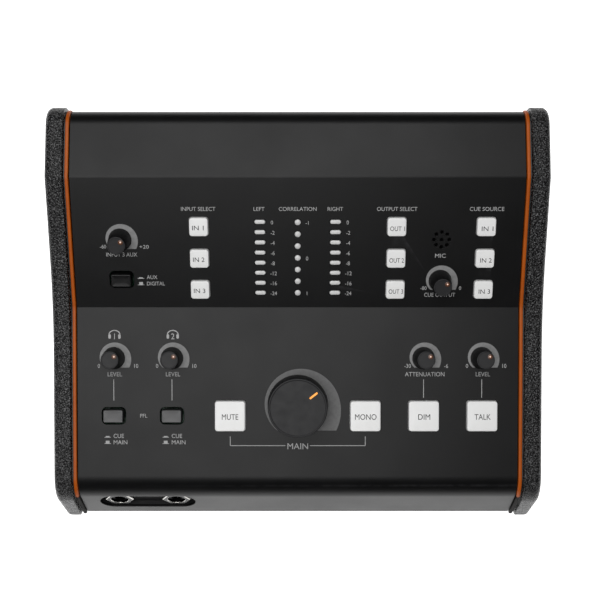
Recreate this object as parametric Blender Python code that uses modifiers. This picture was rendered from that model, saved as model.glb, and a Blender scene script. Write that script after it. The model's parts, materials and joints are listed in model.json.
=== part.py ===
"""Desktop monitor controller: a wedge-shaped desk console for studio loudspeakers and headphones.

Frame: metres, +Z up, the front edge towards -Y, +X to the right of someone sitting at the desk.
The origin is at the middle of the console, on the surface that its four feet stand on.

Everything on the sloping panels is placed in that panel's own frame: x to the right, y up the
slope and z straight out of the sheet. The upper and lower panels both start at the valley line
between them, so a place on the lower panel has a negative y.
"""

import math

import bmesh
import bpy
from mathutils import Matrix, Vector

# ---------------------------------------------------------------- driving dimensions

WIDTH = 0.260
GAP = 0.0003  # between pieces that touch
SHEET = 0.0015

FOOT_HEIGHT = 0.005
BASE_Z = FOOT_HEIGHT + GAP

CHEEK_THICKNESS = 0.00955
TRIM_THICKNESS = 0.0025
CHEEK_PROUD, CHEEK_REAR_PROUD = 0.003, 0.0019
TRIM_PROUD, TRIM_REAR_PROUD = 0.0014, 0.0005
CHEEK_BOTTOM = 0.003
TRIM_BOTTOM = 0.0043
CHEEK_EDGE = 0.0034
# Corner radii from the front foot of the outline, over the top, to its rear foot.
TRIM_RADII = (0.0015, 0.0155, 0.010, 0.007, 0.0095, 0.0015)
CHEEK_RADII = (0.0036, 0.018, 0.200, 0.007, 0.011, 0.0036)

FRONT_LENGTH, FRONT_ANGLE = 0.0316, math.radians(65.4)
LOWER_LENGTH, LOWER_ANGLE = 0.0983, math.radians(7.0)
UPPER_LENGTH, UPPER_ANGLE = 0.0704, math.radians(22.6)
TOP_LENGTH = 0.03605
FRONT_EDGE_Y = -0.106815
LIP_RADIUS = 0.015
VALLEY_RADIUS = 0.0012
CREASE_RADIUS = 0.004
REAR_RADIUS = 0.009
REAR_FLANGE = 0.014
TRAY_REAR_FLANGE = 0.008
TRAY_FRONT_SETBACK = 0.0036
TRAY_FRONT_FLANGE = 0.0245

PANEL_HALF = WIDTH / 2 - CHEEK_THICKNESS - TRIM_THICKNESS - 2 * GAP
TRIM_INNER = PANEL_HALF + GAP
CHEEK_INNER = TRIM_INNER + TRIM_THICKNESS + GAP

# Places on the panels: columns 31 mm apart on the lower panel, rows 17 mm apart on the upper one.
COLUMNS = {"a": -0.098, "b": -0.067, "c": -0.036, "d": 0.036, "e": 0.067, "f": 0.098}
LEVEL_Y = -0.0271
SWITCH_Y = -0.0578
MAIN_Y = -0.052
SELECT_ROWS = (0.0441, 0.0271, 0.0101)
INPUT_X, OUTPUT_X, CUE_X = -0.0515, 0.0515, 0.098
AUX_X, AUX_KNOB_Y, AUX_SWITCH_Y = -0.0928, 0.037, 0.0155
MIC_X, MIC_Y = 0.0751, 0.0371
CUE_KNOB_Y = 0.0147

METER_X = 0.0197
METER_TOP, METER_PITCH, METER_LAMPS = 0.0465, 0.0384 / 7, 8
LAMP_SLOT = (0.0060, 0.0026)
PHASE_TOP, PHASE_PITCH, PHASE_LAMPS = 0.0463, 0.0382 / 6, 7
PHASE_HOLE_RADIUS = 0.0019

MIC_HOLE_RADIUS = 0.0008
MIC_RING_RADIUS = 0.0040
MIC_RING_HOLES = 8

BOARD_TOP = -0.0124
BOARD_THICKNESS = 0.0016
POST_X = 0.1072
SWITCH_TOP = -0.0074
SWITCH_WELL_FLOOR = -0.0117
SHAFT_RADIUS = 0.0030
SHAFT_HOLE_RADIUS = 0.0036
SHAFT_FOOT = -0.0102
POT_TOP = -0.0055

SMALL, LARGE = 0.0097, 0.016
BUTTON_CORNER = 0.0014
SMALL_PROUD, LARGE_PROUD, LATCH_PROUD = 0.0020, 0.0028, 0.0032
LATCH_SIZE = (0.0108, 0.0066)
LATCH_WINDOW, LATCH_WINDOW_CORNER = (0.0128, 0.0092), 0.0026

JACK_BORE = 0.0037
HEADPHONE_X, HEADPHONE_Y = (-0.0974, -0.0664), 0.0157
STADIUM = (0.052, 0.0158)
HEADPHONE_DEPTH = 0.0185

REAR_MID = 0.0383
REAR_DEPTH = 0.0281
PAIR_PITCH = 0.019
PAIRS = {
    "input_2_jacks": -0.071,
    "output_1_jacks": 0.064,
    "output_2_jacks": 0.044,
    "output_3_jacks": 0.024,
}
COMBOS = {"input_1_left_socket": -0.045, "input_1_right_socket": -0.013}
PHONO_X, PHONO_PITCH, PHONO_REACH = -0.098, 0.014, 0.006
INLET_X, ROCKER_X = 0.086, 0.104
ROCKER_REACH, ROCKER_TILT = 0.0074, math.radians(8.0)

THROUGH = (-0.004, 0.004)  # cutters pass the sheet by this much on each side

# Turned profiles as (radius, height) down the outer side, then back up to the axis.
SMALL_KNOB = (
    (0, 0.0130),
    (0.0043, 0.0130),
    (0.0047, 0.0126),
    (0.0056, 0.0030),
    (0.0060, 0.0022),
    (0.0060, 0.0005),
    (0.0033, 0.0005),
    (0.0033, 0.0095),
    (0, 0.0095),
)
MAIN_KNOB = (
    (0, 0.0145),
    (0.0149, 0.0145),
    (0.0155, 0.0139),
    (0.0160, 0.0020),
    (0.0160, 0.0006),
    (0.0145, 0.0006),
    (0.0140, 0.0040),
    (0.0052, 0.0040),
    (0.0050, 0.0006),
    (0.0033, 0.0006),
    (0.0033, 0.0110),
    (0, 0.0110),
)
SMALL_SHAFT_TOP, MAIN_SHAFT_TOP = 0.0092, 0.0107
FOOT = (
    (0, FOOT_HEIGHT),
    (0.0078, FOOT_HEIGHT),
    (0.0072, 0.0006),
    (0.0066, 0),
    (0.0028, 0),
    (0.0028, 0.0025),
    (0, 0.0025),
)
FOOT_X = 0.100
FOOT_ROWS = {"front": -0.080, "rear": 0.085}
CAPSULE = (
    (0, -0.0022),
    (0.0049, -0.0022),
    (0.0049, -0.0088),
    (0.0026, -0.0092),
    (0.0026, BOARD_TOP + GAP),
    (0, BOARD_TOP + GAP),
)

# ---------------------------------------------------------------- scene and collections

for old in list(bpy.data.objects):
    bpy.data.objects.remove(old, do_unlink=True)

console = bpy.data.collections.new("monitor_controller")
cutters = bpy.data.collections.new("cutters")
bpy.context.scene.collection.children.link(console)
bpy.context.scene.collection.children.link(cutters)

# ---------------------------------------------------------------- outlines


def side_corners():
    """Corners of the folded face panel seen from the side: front edge, lip, valley, crease, rear edge."""
    y, z = FRONT_EDGE_Y, BASE_Z
    corners = [(y, z)]
    runs = (
        (FRONT_LENGTH, FRONT_ANGLE),
        (LOWER_LENGTH, LOWER_ANGLE),
        (UPPER_LENGTH, UPPER_ANGLE),
        (TOP_LENGTH, 0.0),
    )
    for length, angle in runs:
        y += length * math.cos(angle)
        z += length * math.sin(angle)
        corners.append((y, z))
    return [Vector(corner) for corner in corners]


def meet(point_a, way_a, point_b, way_b):
    """Where two lines in the plane cross."""
    cross = way_a.x * way_b.y - way_a.y * way_b.x
    gap = point_b - point_a
    return point_a + way_a * ((gap.x * way_b.y - gap.y * way_b.x) / cross)


def offset_line(corners, distance):
    """The same run of straight lines, moved to its left by a distance."""
    ways = [(b - a).normalized() for a, b in zip(corners, corners[1:])]
    moved = [a + Vector((-way.y, way.x)) * distance for a, way in zip(corners, ways)]
    last = corners[-1] + Vector((-ways[-1].y, ways[-1].x)) * distance
    inner = [meet(moved[i - 1], ways[i - 1], moved[i], ways[i]) for i in range(1, len(ways))]
    return [moved[0], *inner, last]


def rounded(corners, radii, steps, closed=False):
    """Points along straight lines whose corners are rounded. A radius of 0 keeps its corner."""
    points = []
    count = len(corners)
    for i, corner in enumerate(corners):
        if radii[i] == 0 or (not closed and i in (0, count - 1)):
            points.append(corner.copy())
            continue
        before = (corners[i - 1] - corner).normalized()
        after = (corners[(i + 1) % count] - corner).normalized()
        half = before.angle(after) / 2
        centre = corner + (before + after).normalized() * (radii[i] / math.sin(half))
        start = corner + before * (radii[i] / math.tan(half)) - centre
        turn = math.pi - 2 * half
        if start.y * before.x - start.x * before.y < 0:
            turn = -turn
        for step in range(steps[i] + 1):
            angle = turn * step / steps[i]
            cosine, sine = math.cos(angle), math.sin(angle)
            arm = Vector((start.x * cosine - start.y * sine, start.x * sine + start.y * cosine))
            points.append(centre + arm)
    return points


# ---------------------------------------------------------------- panel frames

CORNERS = side_corners()
FRONT_EDGE, LIP, VALLEY, CREASE, REAR_EDGE = CORNERS


def panel_frame(corner, angle):
    """x stays to the right, y runs up the slope and z points out of the sheet."""
    return Matrix.Translation((0, corner.x, corner.y)) @ Matrix.Rotation(angle, 4, "X")


UPPER = panel_frame(VALLEY, UPPER_ANGLE)
LOWER = panel_frame(VALLEY, LOWER_ANGLE)
FRONT = panel_frame(FRONT_EDGE, FRONT_ANGLE)
REAR_FACE_Y = REAR_EDGE.x - SHEET - GAP
# The rear frame's y points down, and its zero height is the middle of the connector row.
REAR = panel_frame(Vector((REAR_FACE_Y, REAR_MID)), -math.pi / 2)

# ---------------------------------------------------------------- shape helpers


def material(name, colour, roughness, metallic=0.0):
    made = bpy.data.materials.new(name)
    made.use_nodes = True
    shader = made.node_tree.nodes["Principled BSDF"]
    shader.inputs["Base Color"].default_value = (*colour, 1.0)
    shader.inputs["Roughness"].default_value = roughness
    shader.inputs["Metallic"].default_value = metallic
    return made


def add_box(bm, x, y, z, corner=0.0, steps=1):
    """A box from low to high on each axis. A corner above 0 rounds the edges along z."""
    size = (x[1] - x[0], y[1] - y[0], z[1] - z[0])
    middle = ((x[0] + x[1]) / 2, (y[0] + y[1]) / 2, (z[0] + z[1]) / 2)
    place = Matrix.Translation(middle) @ Matrix.Diagonal((*size, 1))
    verts = bmesh.ops.create_cube(bm, size=1, matrix=place)["verts"]
    if corner:
        edges = {edge for vert in verts for edge in vert.link_edges}
        upright = [e for e in edges if abs(e.verts[0].co.z - e.verts[1].co.z) > size[2] / 2]
        bmesh.ops.bevel(
            bm, geom=upright, offset=corner, segments=steps, profile=0.5, affect="EDGES"
        )


def add_square(bm, x, y, width, length, z, corner=0.0, steps=2):
    """A box about a centre, with its upright edges rounded."""
    across = (x - width / 2, x + width / 2)
    along = (y - length / 2, y + length / 2)
    add_box(bm, across, along, z, corner, steps)


def add_rod(bm, x, y, radius, z, sides):
    """A cylinder along z from low to high, with two of its corners on the x axis."""
    place = Matrix.Translation((x, y, (z[0] + z[1]) / 2)) @ Matrix.Rotation(math.pi / 2, 4, "Z")
    bmesh.ops.create_cone(
        bm, cap_ends=True, segments=sides, radius1=radius, radius2=radius, depth=z[1] - z[0], matrix=place
    )


def as_object(name, bm, frame, look, collection=console):
    """A node from a bmesh. Its origin is the frame's origin."""
    mesh = bpy.data.meshes.new(name)
    bm.normal_update()
    bm.to_mesh(mesh)
    bm.free()
    made = bpy.data.objects.new(name, mesh)
    made.matrix_world = frame
    collection.objects.link(made)
    if look:
        mesh.materials.append(look)
    mesh.shade_smooth()
    mesh.set_sharp_from_angle(angle=math.radians(35))
    return made


def helper(name, bm, frame):
    """A cutter or a piece to join: it isn't part of the console by itself."""
    made = as_object(name, bm, frame, None, cutters)
    made.hide_render = True
    made.display_type = "WIRE"
    return made


def combine(target, other, operation):
    change = target.modifiers.new(other.name, "BOOLEAN")
    change.object = other
    change.operation = operation
    change.solver = "EXACT"


def folded_sheet(name, line, look):
    """A sheet folded along a side line, from one side trim to the other."""
    bm = bmesh.new()
    verts = [bm.verts.new((-PANEL_HALF, point.x, point.y)) for point in line]
    edges = [bm.edges.new(pair) for pair in zip(verts, verts[1:])]
    grown = bmesh.ops.extrude_edge_only(bm, edges=edges)["geom"]
    far = [item for item in grown if isinstance(item, bmesh.types.BMVert)]
    bmesh.ops.translate(bm, verts=far, vec=(2 * PANEL_HALF, 0, 0))
    bm.normal_update()
    # The line runs with the outside on its left, and the sheet's thickness goes to its right.
    first = verts[0].link_faces[0]
    way = (line[1] - line[0]).normalized()
    if first.normal.y * -way.y + first.normal.z * way.x < 0:
        bmesh.ops.reverse_faces(bm, faces=bm.faces[:])
    made = as_object(name, bm, Matrix(), look)
    solid = made.modifiers.new("sheet", "SOLIDIFY")
    solid.thickness = SHEET
    solid.offset = -1
    solid.use_even_offset = True
    return made


def outline_plate(line, thickness):
    """A closed outline in y and z as a plate of a thickness along x, centred on x = 0."""
    curve = bpy.data.curves.new("outline", "CURVE")
    curve.dimensions = "2D"
    curve.fill_mode = "BOTH"
    curve.extrude = thickness / 2
    spline = curve.splines.new("POLY")
    spline.points.add(len(line) - 1)
    for point, place in zip(spline.points, line):
        point.co = (place.x, place.y, 0, 1)
    spline.use_cyclic_u = True
    drawn = bpy.data.objects.new("outline", curve)
    console.objects.link(drawn)
    bpy.context.view_layer.update()
    seen = drawn.evaluated_get(bpy.context.evaluated_depsgraph_get())
    mesh = bpy.data.meshes.new_from_object(seen)
    bm = bmesh.new()
    bm.from_mesh(mesh)
    bpy.data.meshes.remove(mesh)
    bpy.data.objects.remove(drawn, do_unlink=True)
    bmesh.ops.remove_doubles(bm, verts=bm.verts[:], dist=1e-6)
    bmesh.ops.dissolve_limit(bm, angle_limit=0.001, verts=bm.verts[:], edges=bm.edges[:])
    bmesh.ops.recalc_face_normals(bm, faces=bm.faces[:])
    # The curve lies in x and y: stand it up so that its x becomes the console's y.
    upright = Matrix(((0, 0, 1, 0), (1, 0, 0, 0), (0, 1, 0, 0), (0, 0, 0, 1)))
    bmesh.ops.transform(bm, matrix=upright, verts=bm.verts[:])
    return bm


def turned(name, profile, sides, frame, look, collection=console):
    """A turned shape: the profile runs down its outer side, then back up to the axis."""
    bm = bmesh.new()
    verts = [bm.verts.new((radius, 0, height)) for radius, height in profile]
    for pair in zip(verts, verts[1:]):
        bm.edges.new(pair)
    made = as_object(name, bm, frame, look, collection)
    spin = made.modifiers.new("turn", "SCREW")
    spin.steps = sides
    spin.render_steps = sides
    spin.use_merge_vertices = True
    spin.merge_threshold = 0.00001
    spin.use_smooth_shade = True
    return made


# ---------------------------------------------------------------- looks

steel = material("dark_powder_coat", (0.045, 0.045, 0.047), 0.48, 0.1)
orange = material("orange_trim", (0.55, 0.13, 0.02), 0.45)
leather = material("black_leatherette", (0.012, 0.012, 0.013), 0.5)
knob_black = material("knob_black", (0.012, 0.012, 0.013), 0.5)
button_white = material("button_white", (0.85, 0.85, 0.84), 0.4)
black_plastic = material("black_plastic", (0.02, 0.02, 0.02), 0.4)
rubber = material("foot_rubber", (0.02, 0.02, 0.02), 0.8)
board_green = material("board_green", (0.02, 0.09, 0.04), 0.5)
lamp_grey = material("lamp_diffuser", (0.5, 0.5, 0.5), 0.35)
nickel = material("nickel", (0.6, 0.6, 0.58), 0.3, 1.0)
capsule_metal = material("capsule_metal", (0.5, 0.5, 0.5), 0.4, 1.0)

# ---------------------------------------------------------------- controls, listed once

# name: (frame, x, y, big)
KNOBS = {
    "aux_level_knob": (UPPER, AUX_X, AUX_KNOB_Y, False),
    "cue_output_knob": (UPPER, MIC_X, CUE_KNOB_Y, False),
    "headphone_1_knob": (LOWER, COLUMNS["a"], LEVEL_Y, False),
    "headphone_2_knob": (LOWER, COLUMNS["b"], LEVEL_Y, False),
    "attenuation_knob": (LOWER, COLUMNS["e"], LEVEL_Y, False),
    "talk_level_knob": (LOWER, COLUMNS["f"], LEVEL_Y, False),
    "main_knob": (LOWER, 0.0, MAIN_Y, True),
}

# name: (frame, x, y, kind)
BUTTONS = {
    "mute_button": (LOWER, COLUMNS["c"], SWITCH_Y, "large"),
    "mono_button": (LOWER, COLUMNS["d"], SWITCH_Y, "large"),
    "dim_button": (LOWER, COLUMNS["e"], SWITCH_Y, "large"),
    "talk_button": (LOWER, COLUMNS["f"], SWITCH_Y, "large"),
    "headphone_1_source_button": (LOWER, COLUMNS["a"], SWITCH_Y, "latch"),
    "headphone_2_source_button": (LOWER, COLUMNS["b"], SWITCH_Y, "latch"),
    "aux_source_button": (UPPER, AUX_X, AUX_SWITCH_Y, "latch"),
}
for group, column_x in (("input", INPUT_X), ("output", OUTPUT_X), ("cue_source", CUE_X)):
    for number, row_y in enumerate(SELECT_ROWS, start=1):
        BUTTONS[f"{group}_{number}_button"] = (UPPER, column_x, row_y, "small")


def on_panel(controls, frame):
    """The controls of one panel, as their places and kinds."""
    return [place[1:] for place in controls.values() if place[0] is frame]


# ---------------------------------------------------------------- shell


def cut_windows(bm, frame):
    """The openings that the controls of one sloping panel need, as cutters through the sheet."""
    for x, y, _ in on_panel(KNOBS, frame):
        add_rod(bm, x, y, SHAFT_HOLE_RADIUS, THROUGH, 16)
    for x, y, kind in on_panel(BUTTONS, frame):
        if kind == "latch":
            add_square(bm, x, y, *LATCH_WINDOW, THROUGH, LATCH_WINDOW_CORNER, 3)
        else:
            side = (LARGE if kind == "large" else SMALL) + 2 * GAP
            add_square(bm, x, y, side, side, THROUGH, 0.0014, 2)


def meter_places():
    """Centre of each lamp as (x, y, kind)."""
    places = []
    for side in (-1, 1):
        for lamp in range(METER_LAMPS):
            places.append((side * METER_X, METER_TOP - lamp * METER_PITCH, "slot"))
    for lamp in range(PHASE_LAMPS):
        places.append((0.0, PHASE_TOP - lamp * PHASE_PITCH, "round"))
    return places


def face_panel():
    """One folded sheet: front, lip, lower and upper control panels, top band and rear edge."""
    line = [*CORNERS, REAR_EDGE - Vector((0, REAR_FLANGE))]
    radii = (0, LIP_RADIUS, VALLEY_RADIUS, CREASE_RADIUS, REAR_RADIUS, 0)
    steps = (0, 8, 2, 3, 5, 0)
    panel = folded_sheet("face_panel", rounded(line, radii, steps), steel)

    upper = bmesh.new()
    cut_windows(upper, UPPER)
    for x, y, kind in meter_places():
        if kind == "slot":
            add_square(upper, x, y, *LAMP_SLOT, THROUGH, 0.0008, 1)
        else:
            add_rod(upper, x, y, PHASE_HOLE_RADIUS, THROUGH, 10)
    add_rod(upper, MIC_X, MIC_Y, MIC_HOLE_RADIUS, THROUGH, 8)
    for hole in range(MIC_RING_HOLES):
        angle = 2 * math.pi * hole / MIC_RING_HOLES
        x = MIC_X + MIC_RING_RADIUS * math.cos(angle)
        y = MIC_Y + MIC_RING_RADIUS * math.sin(angle)
        add_rod(upper, x, y, MIC_HOLE_RADIUS, THROUGH, 8)
    combine(panel, helper("upper_windows", upper, UPPER), "DIFFERENCE")

    lower = bmesh.new()
    cut_windows(lower, LOWER)
    combine(panel, helper("lower_windows", lower, LOWER), "DIFFERENCE")

    recess = bmesh.new()
    middle = sum(HEADPHONE_X) / 2
    add_square(recess, middle, HEADPHONE_Y, *STADIUM, (-0.0025, 0.004), STADIUM[1] / 2 - 1e-5, 8)
    combine(panel, helper("headphone_window", recess, FRONT), "DIFFERENCE")
    return panel


def base_tray():
    """Floor of the case, with a low rear flange and a taller front flange that carries the jacks."""
    inside = offset_line([FRONT_EDGE, LIP], -TRAY_FRONT_SETBACK)
    way = (LIP - FRONT_EDGE).normalized()
    front = meet(inside[0], way, Vector((0, BASE_Z)), Vector((1, 0)))
    line = [
        Vector((REAR_EDGE.x, BASE_Z + TRAY_REAR_FLANGE)),
        Vector((REAR_EDGE.x, BASE_Z)),
        front,
        front + way * TRAY_FRONT_FLANGE,
    ]
    tray = folded_sheet("base_tray", rounded(line, (0, 0.002, 0.002, 0), (0, 3, 3, 0)), steel)
    holes = bmesh.new()
    for x in HEADPHONE_X:
        add_rod(holes, x, HEADPHONE_Y, 0.0050, (-0.0060, -0.0030), 16)
    combine(tray, helper("jack_holes", holes, FRONT), "DIFFERENCE")
    return tray


def rear_panel():
    """Flat connector plate, screwed inside the flanges of the tray and of the face panel."""
    low = BASE_Z + SHEET + GAP
    high = REAR_EDGE.y - REAR_RADIUS
    bm = bmesh.new()
    add_box(bm, (-PANEL_HALF, PANEL_HALF), (REAR_MID - high, REAR_MID - low), (-SHEET, 0))
    plate = as_object("rear_panel", bm, REAR, steel)
    holes = bmesh.new()
    for x in PAIRS.values():
        for side in (-1, 1):
            add_rod(holes, x, side * PAIR_PITCH / 2, 0.0059, THROUGH, 16)
    for x in COMBOS.values():
        add_rod(holes, x, 0, 0.0122, THROUGH, 24)
    for x, y in phono_places():
        add_rod(holes, x, y, 0.0052, THROUGH, 14)
    add_square(holes, INLET_X, 0, 0.0096, 0.0116, THROUGH)
    add_square(holes, ROCKER_X, 0, 0.0136, 0.0196, THROUGH)
    combine(plate, helper("socket_holes", holes, REAR), "DIFFERENCE")
    return plate


def side_line(proud, rear_proud, bottom, radii):
    """Closed side outline of a trim or a cheek, standing proud of the folded panel."""
    line = [*CORNERS, Vector((REAR_EDGE.x, 0.0))]
    line = offset_line(line, proud)
    line[-2].x = REAR_EDGE.x + rear_proud
    front_way = line[1] - line[0]
    line[0] = meet(line[0], front_way, Vector((0, bottom)), Vector((1, 0)))
    line[-1] = Vector((line[-2].x, bottom))
    return rounded(line, radii, (4, 8, 6, 3, 6, 4), closed=True)


def side_pieces(side, word):
    """The thin orange trim plate and the thick grained cheek outside it, on one side."""
    trim_line = side_line(TRIM_PROUD, TRIM_REAR_PROUD, TRIM_BOTTOM, TRIM_RADII)
    trim = outline_plate(trim_line, TRIM_THICKNESS)
    middle = side * (TRIM_INNER + TRIM_THICKNESS / 2)
    as_object(f"{word}_trim", trim, Matrix.Translation((middle, 0, 0)), orange)

    cheek_line = side_line(CHEEK_PROUD, CHEEK_REAR_PROUD, CHEEK_BOTTOM, CHEEK_RADII)
    cheek = outline_plate(cheek_line, CHEEK_THICKNESS)
    outer = side * CHEEK_THICKNESS / 2
    rim = [e for e in cheek.edges if all(abs(v.co.x - outer) < 1e-6 for v in e.verts)]
    bmesh.ops.bevel(cheek, geom=rim, offset=CHEEK_EDGE, segments=3, profile=0.5, affect="EDGES")
    middle = side * (CHEEK_INNER + CHEEK_THICKNESS / 2)
    as_object(f"{word}_cheek", cheek, Matrix.Translation((middle, 0, 0)), leather)


def feet():
    """Four rubber feet with a recess for their screws."""
    for word, y in FOOT_ROWS.items():
        for side, x in (("left", -FOOT_X), ("right", FOOT_X)):
            turned(f"{word}_{side}_foot", FOOT, 20, Matrix.Translation((x, y, 0)), rubber)


# ---------------------------------------------------------------- knobs and shafts


def knobs():
    """Each knob and the shaft inside it turn about the panel's normal."""
    for name, (frame, x, y, big) in KNOBS.items():
        place = frame @ Matrix.Translation((x, y, 0))
        turned(name, MAIN_KNOB if big else SMALL_KNOB, 40 if big else 24, place, knob_black)
        shaft = bmesh.new()
        top = MAIN_SHAFT_TOP if big else SMALL_SHAFT_TOP
        add_rod(shaft, 0, 0, SHAFT_RADIUS, (SHAFT_FOOT, top), 14)
        as_object(name.replace("_knob", "_shaft"), shaft, place, nickel)


# ---------------------------------------------------------------- buttons


def square_button(name, place, side, proud):
    """Cap, retaining skirt and stem of a lit push button, as one moulding."""
    bm = bmesh.new()
    add_square(bm, 0, 0, side, side, (-0.0042, proud), BUTTON_CORNER, 3)
    rim = [e for e in bm.edges if all(abs(v.co.z - proud) < 1e-7 for v in e.verts)]
    bmesh.ops.bevel(bm, geom=rim, offset=0.0005, segments=1, affect="EDGES")
    made = as_object(name, bm, place, button_white)
    below = bmesh.new()
    add_square(below, 0, 0, side + 0.0016, side + 0.0016, (-0.0046, -0.0034))
    combine(made, helper(f"{name}_skirt", below, place), "UNION")
    stem = bmesh.new()
    add_square(stem, 0, 0, 0.0024, 0.0024, (-0.0097, -0.0040))
    combine(made, helper(f"{name}_stem", stem, place), "UNION")


def latch_button(name, place):
    """Small black cap of a latching switch, on its stem."""
    bm = bmesh.new()
    add_square(bm, 0, 0, *LATCH_SIZE, (-0.0036, LATCH_PROUD), 0.0009, 2)
    rim = [e for e in bm.edges if all(abs(v.co.z - LATCH_PROUD) < 1e-7 for v in e.verts)]
    bmesh.ops.bevel(bm, geom=rim, offset=0.0005, segments=1, affect="EDGES")
    made = as_object(name, bm, place, black_plastic)
    stem = bmesh.new()
    add_square(stem, 0, 0, 0.0024, 0.0024, (-0.0093, -0.0030))
    combine(made, helper(f"{name}_stem", stem, place), "UNION")


def buttons():
    for name, (frame, x, y, kind) in BUTTONS.items():
        place = frame @ Matrix.Translation((x, y, 0))
        if kind == "latch":
            latch_button(name, place)
        elif kind == "large":
            square_button(name, place, LARGE, LARGE_PROUD)
        else:
            square_button(name, place, SMALL, SMALL_PROUD)


# ---------------------------------------------------------------- boards


def control_board(name, frame, y, posts, lamp_blocks=()):
    """A board under a sloping panel, with its posts, switches and pots soldered on."""
    bm = bmesh.new()
    add_box(bm, (-0.110, 0.110), y, (BOARD_TOP - BOARD_THICKNESS, BOARD_TOP))
    board = as_object(name, bm, frame, board_green)
    sunk = BOARD_TOP - 0.0004
    parts = bmesh.new()
    wells = bmesh.new()
    for x, middle in posts:
        add_rod(parts, x, middle, 0.0025, (sunk, -SHEET - GAP), 10)
    for x, middle, half in lamp_blocks:
        add_box(parts, (x - 0.002, x + 0.002), (middle - half, middle + half), (sunk, -0.0098))
    for x, middle, big in on_panel(KNOBS, frame):
        side = 0.016 if big else 0.0098
        add_square(parts, x, middle, side, side + 0.001, (sunk, POT_TOP))
        add_rod(wells, x, middle, SHAFT_RADIUS + GAP, (SHAFT_FOOT - GAP, 0.0), 14)
    for x, middle, _ in on_panel(BUTTONS, frame):
        add_square(parts, x, middle, 0.0062, 0.0062, (sunk, SWITCH_TOP))
        add_square(wells, x, middle, 0.0032, 0.0032, (SWITCH_WELL_FLOOR, 0.0))
    combine(board, helper(f"{name}_parts", parts, frame), "UNION")
    combine(board, helper(f"{name}_wells", wells, frame), "DIFFERENCE")


def boards():
    upper_posts = [(side * POST_X, y) for side in (-1, 1) for y in (0.006, 0.055)]
    half = (METER_TOP - 0.0081) / 2
    middle = (METER_TOP + 0.0081) / 2
    strips = [(x, middle, half) for x in (-METER_X, 0.0, METER_X)]
    control_board("upper_control_board", UPPER, (0.002, 0.060), upper_posts, strips)
    lower_posts = [(side * POST_X, y) for side in (-1, 1) for y in (-0.0697, -0.008)]
    control_board("lower_control_board", LOWER, (-0.0725, -0.003), lower_posts)
    bm = bmesh.new()
    face = -REAR_DEPTH - GAP
    add_box(bm, (-0.112, 0.112), (-0.0175, 0.020), (face - BOARD_THICKNESS, face))
    as_object("rear_connector_board", bm, REAR, board_green)


# ---------------------------------------------------------------- meters and microphone


def light_guide(name, x, places, top, bottom):
    """A clear comb that carries the light of one row of lamps through the panel."""
    bm = bmesh.new()
    add_box(bm, (x - 0.0036, x + 0.0036), (bottom - 0.003, top + 0.003), (-0.0060, -0.0032))
    guide = as_object(name, bm, UPPER, lamp_grey)
    noses = bmesh.new()
    for nose_x, y, kind in places:
        if kind == "slot":
            width, height = LAMP_SLOT[0] - 2 * GAP, LAMP_SLOT[1] - 2 * GAP
            add_square(noses, nose_x, y, width, height, (-0.0036, 0.0003), 0.0006, 1)
        else:
            add_rod(noses, nose_x, y, PHASE_HOLE_RADIUS - GAP, (-0.0036, 0.0003), 10)
    combine(guide, helper(f"{name}_noses", noses, UPPER), "UNION")


def meters():
    places = meter_places()
    bottom = METER_TOP - (METER_LAMPS - 1) * METER_PITCH
    for name, x in (("left_meter", -METER_X), ("correlation_meter", 0.0), ("right_meter", METER_X)):
        own = [place for place in places if abs(place[0] - x) < 1e-6]
        light_guide(f"{name}_light_guide", x, own, METER_TOP, bottom)


def microphone():
    """Talkback microphone capsule on its post, under the ring of small holes."""
    place = UPPER @ Matrix.Translation((MIC_X, MIC_Y, 0))
    turned("talkback_microphone", CAPSULE, 20, place, capsule_metal)


# ---------------------------------------------------------------- sockets


def headphone_jacks():
    """Headphone sockets, each held in the tray's front flange by its hexagon nut."""
    seat = -TRAY_FRONT_SETBACK
    for number, x in enumerate(HEADPHONE_X, start=1):
        place = FRONT @ Matrix.Translation((x, HEADPHONE_Y, 0))
        bm = bmesh.new()
        add_square(bm, 0, 0, 0.014, 0.0108, (-HEADPHONE_DEPTH, seat - SHEET - GAP))
        jack = as_object(f"headphone_jack_{number}", bm, place, nickel)
        front = bmesh.new()
        add_rod(front, 0, 0, 0.0047, (seat - SHEET - 0.001, seat + 0.0012), 16)
        combine(jack, helper(f"headphone_bush_{number}", front, place), "UNION")
        nut = bmesh.new()
        add_rod(nut, 0, 0, 0.0078, (seat + GAP, seat + 0.0025), 6)
        combine(jack, helper(f"headphone_nut_{number}", nut, place), "UNION")
        bore = bmesh.new()
        add_rod(bore, 0, 0, JACK_BORE, (-HEADPHONE_DEPTH + 0.0015, 0.002), 16)
        combine(jack, helper(f"headphone_bore_{number}", bore, place), "DIFFERENCE")


def jack_pairs():
    """Two jack sockets one above the other, in one housing, with their nuts outside the rear panel."""
    for name, x in PAIRS.items():
        place = REAR @ Matrix.Translation((x, 0, 0))
        bm = bmesh.new()
        add_square(bm, 0, 0, 0.014, 0.034, (-REAR_DEPTH, -SHEET - GAP))
        pair = as_object(name, bm, place, black_plastic)
        bushes = bmesh.new()
        nuts = bmesh.new()
        bores = bmesh.new()
        for side in (-1, 1):
            y = side * PAIR_PITCH / 2
            add_rod(bushes, 0, y, 0.0055, (-SHEET - 0.001, 0.0012), 16)
            add_rod(nuts, 0, y, 0.0078, (GAP, 0.0021), 6)
            add_rod(bores, 0, y, JACK_BORE, (-REAR_DEPTH + 0.002, 0.004), 14)
        combine(pair, helper(f"{name}_bushes", bushes, place), "UNION")
        combine(pair, helper(f"{name}_nuts", nuts, place), "UNION")
        combine(pair, helper(f"{name}_bores", bores, place), "DIFFERENCE")


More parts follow.
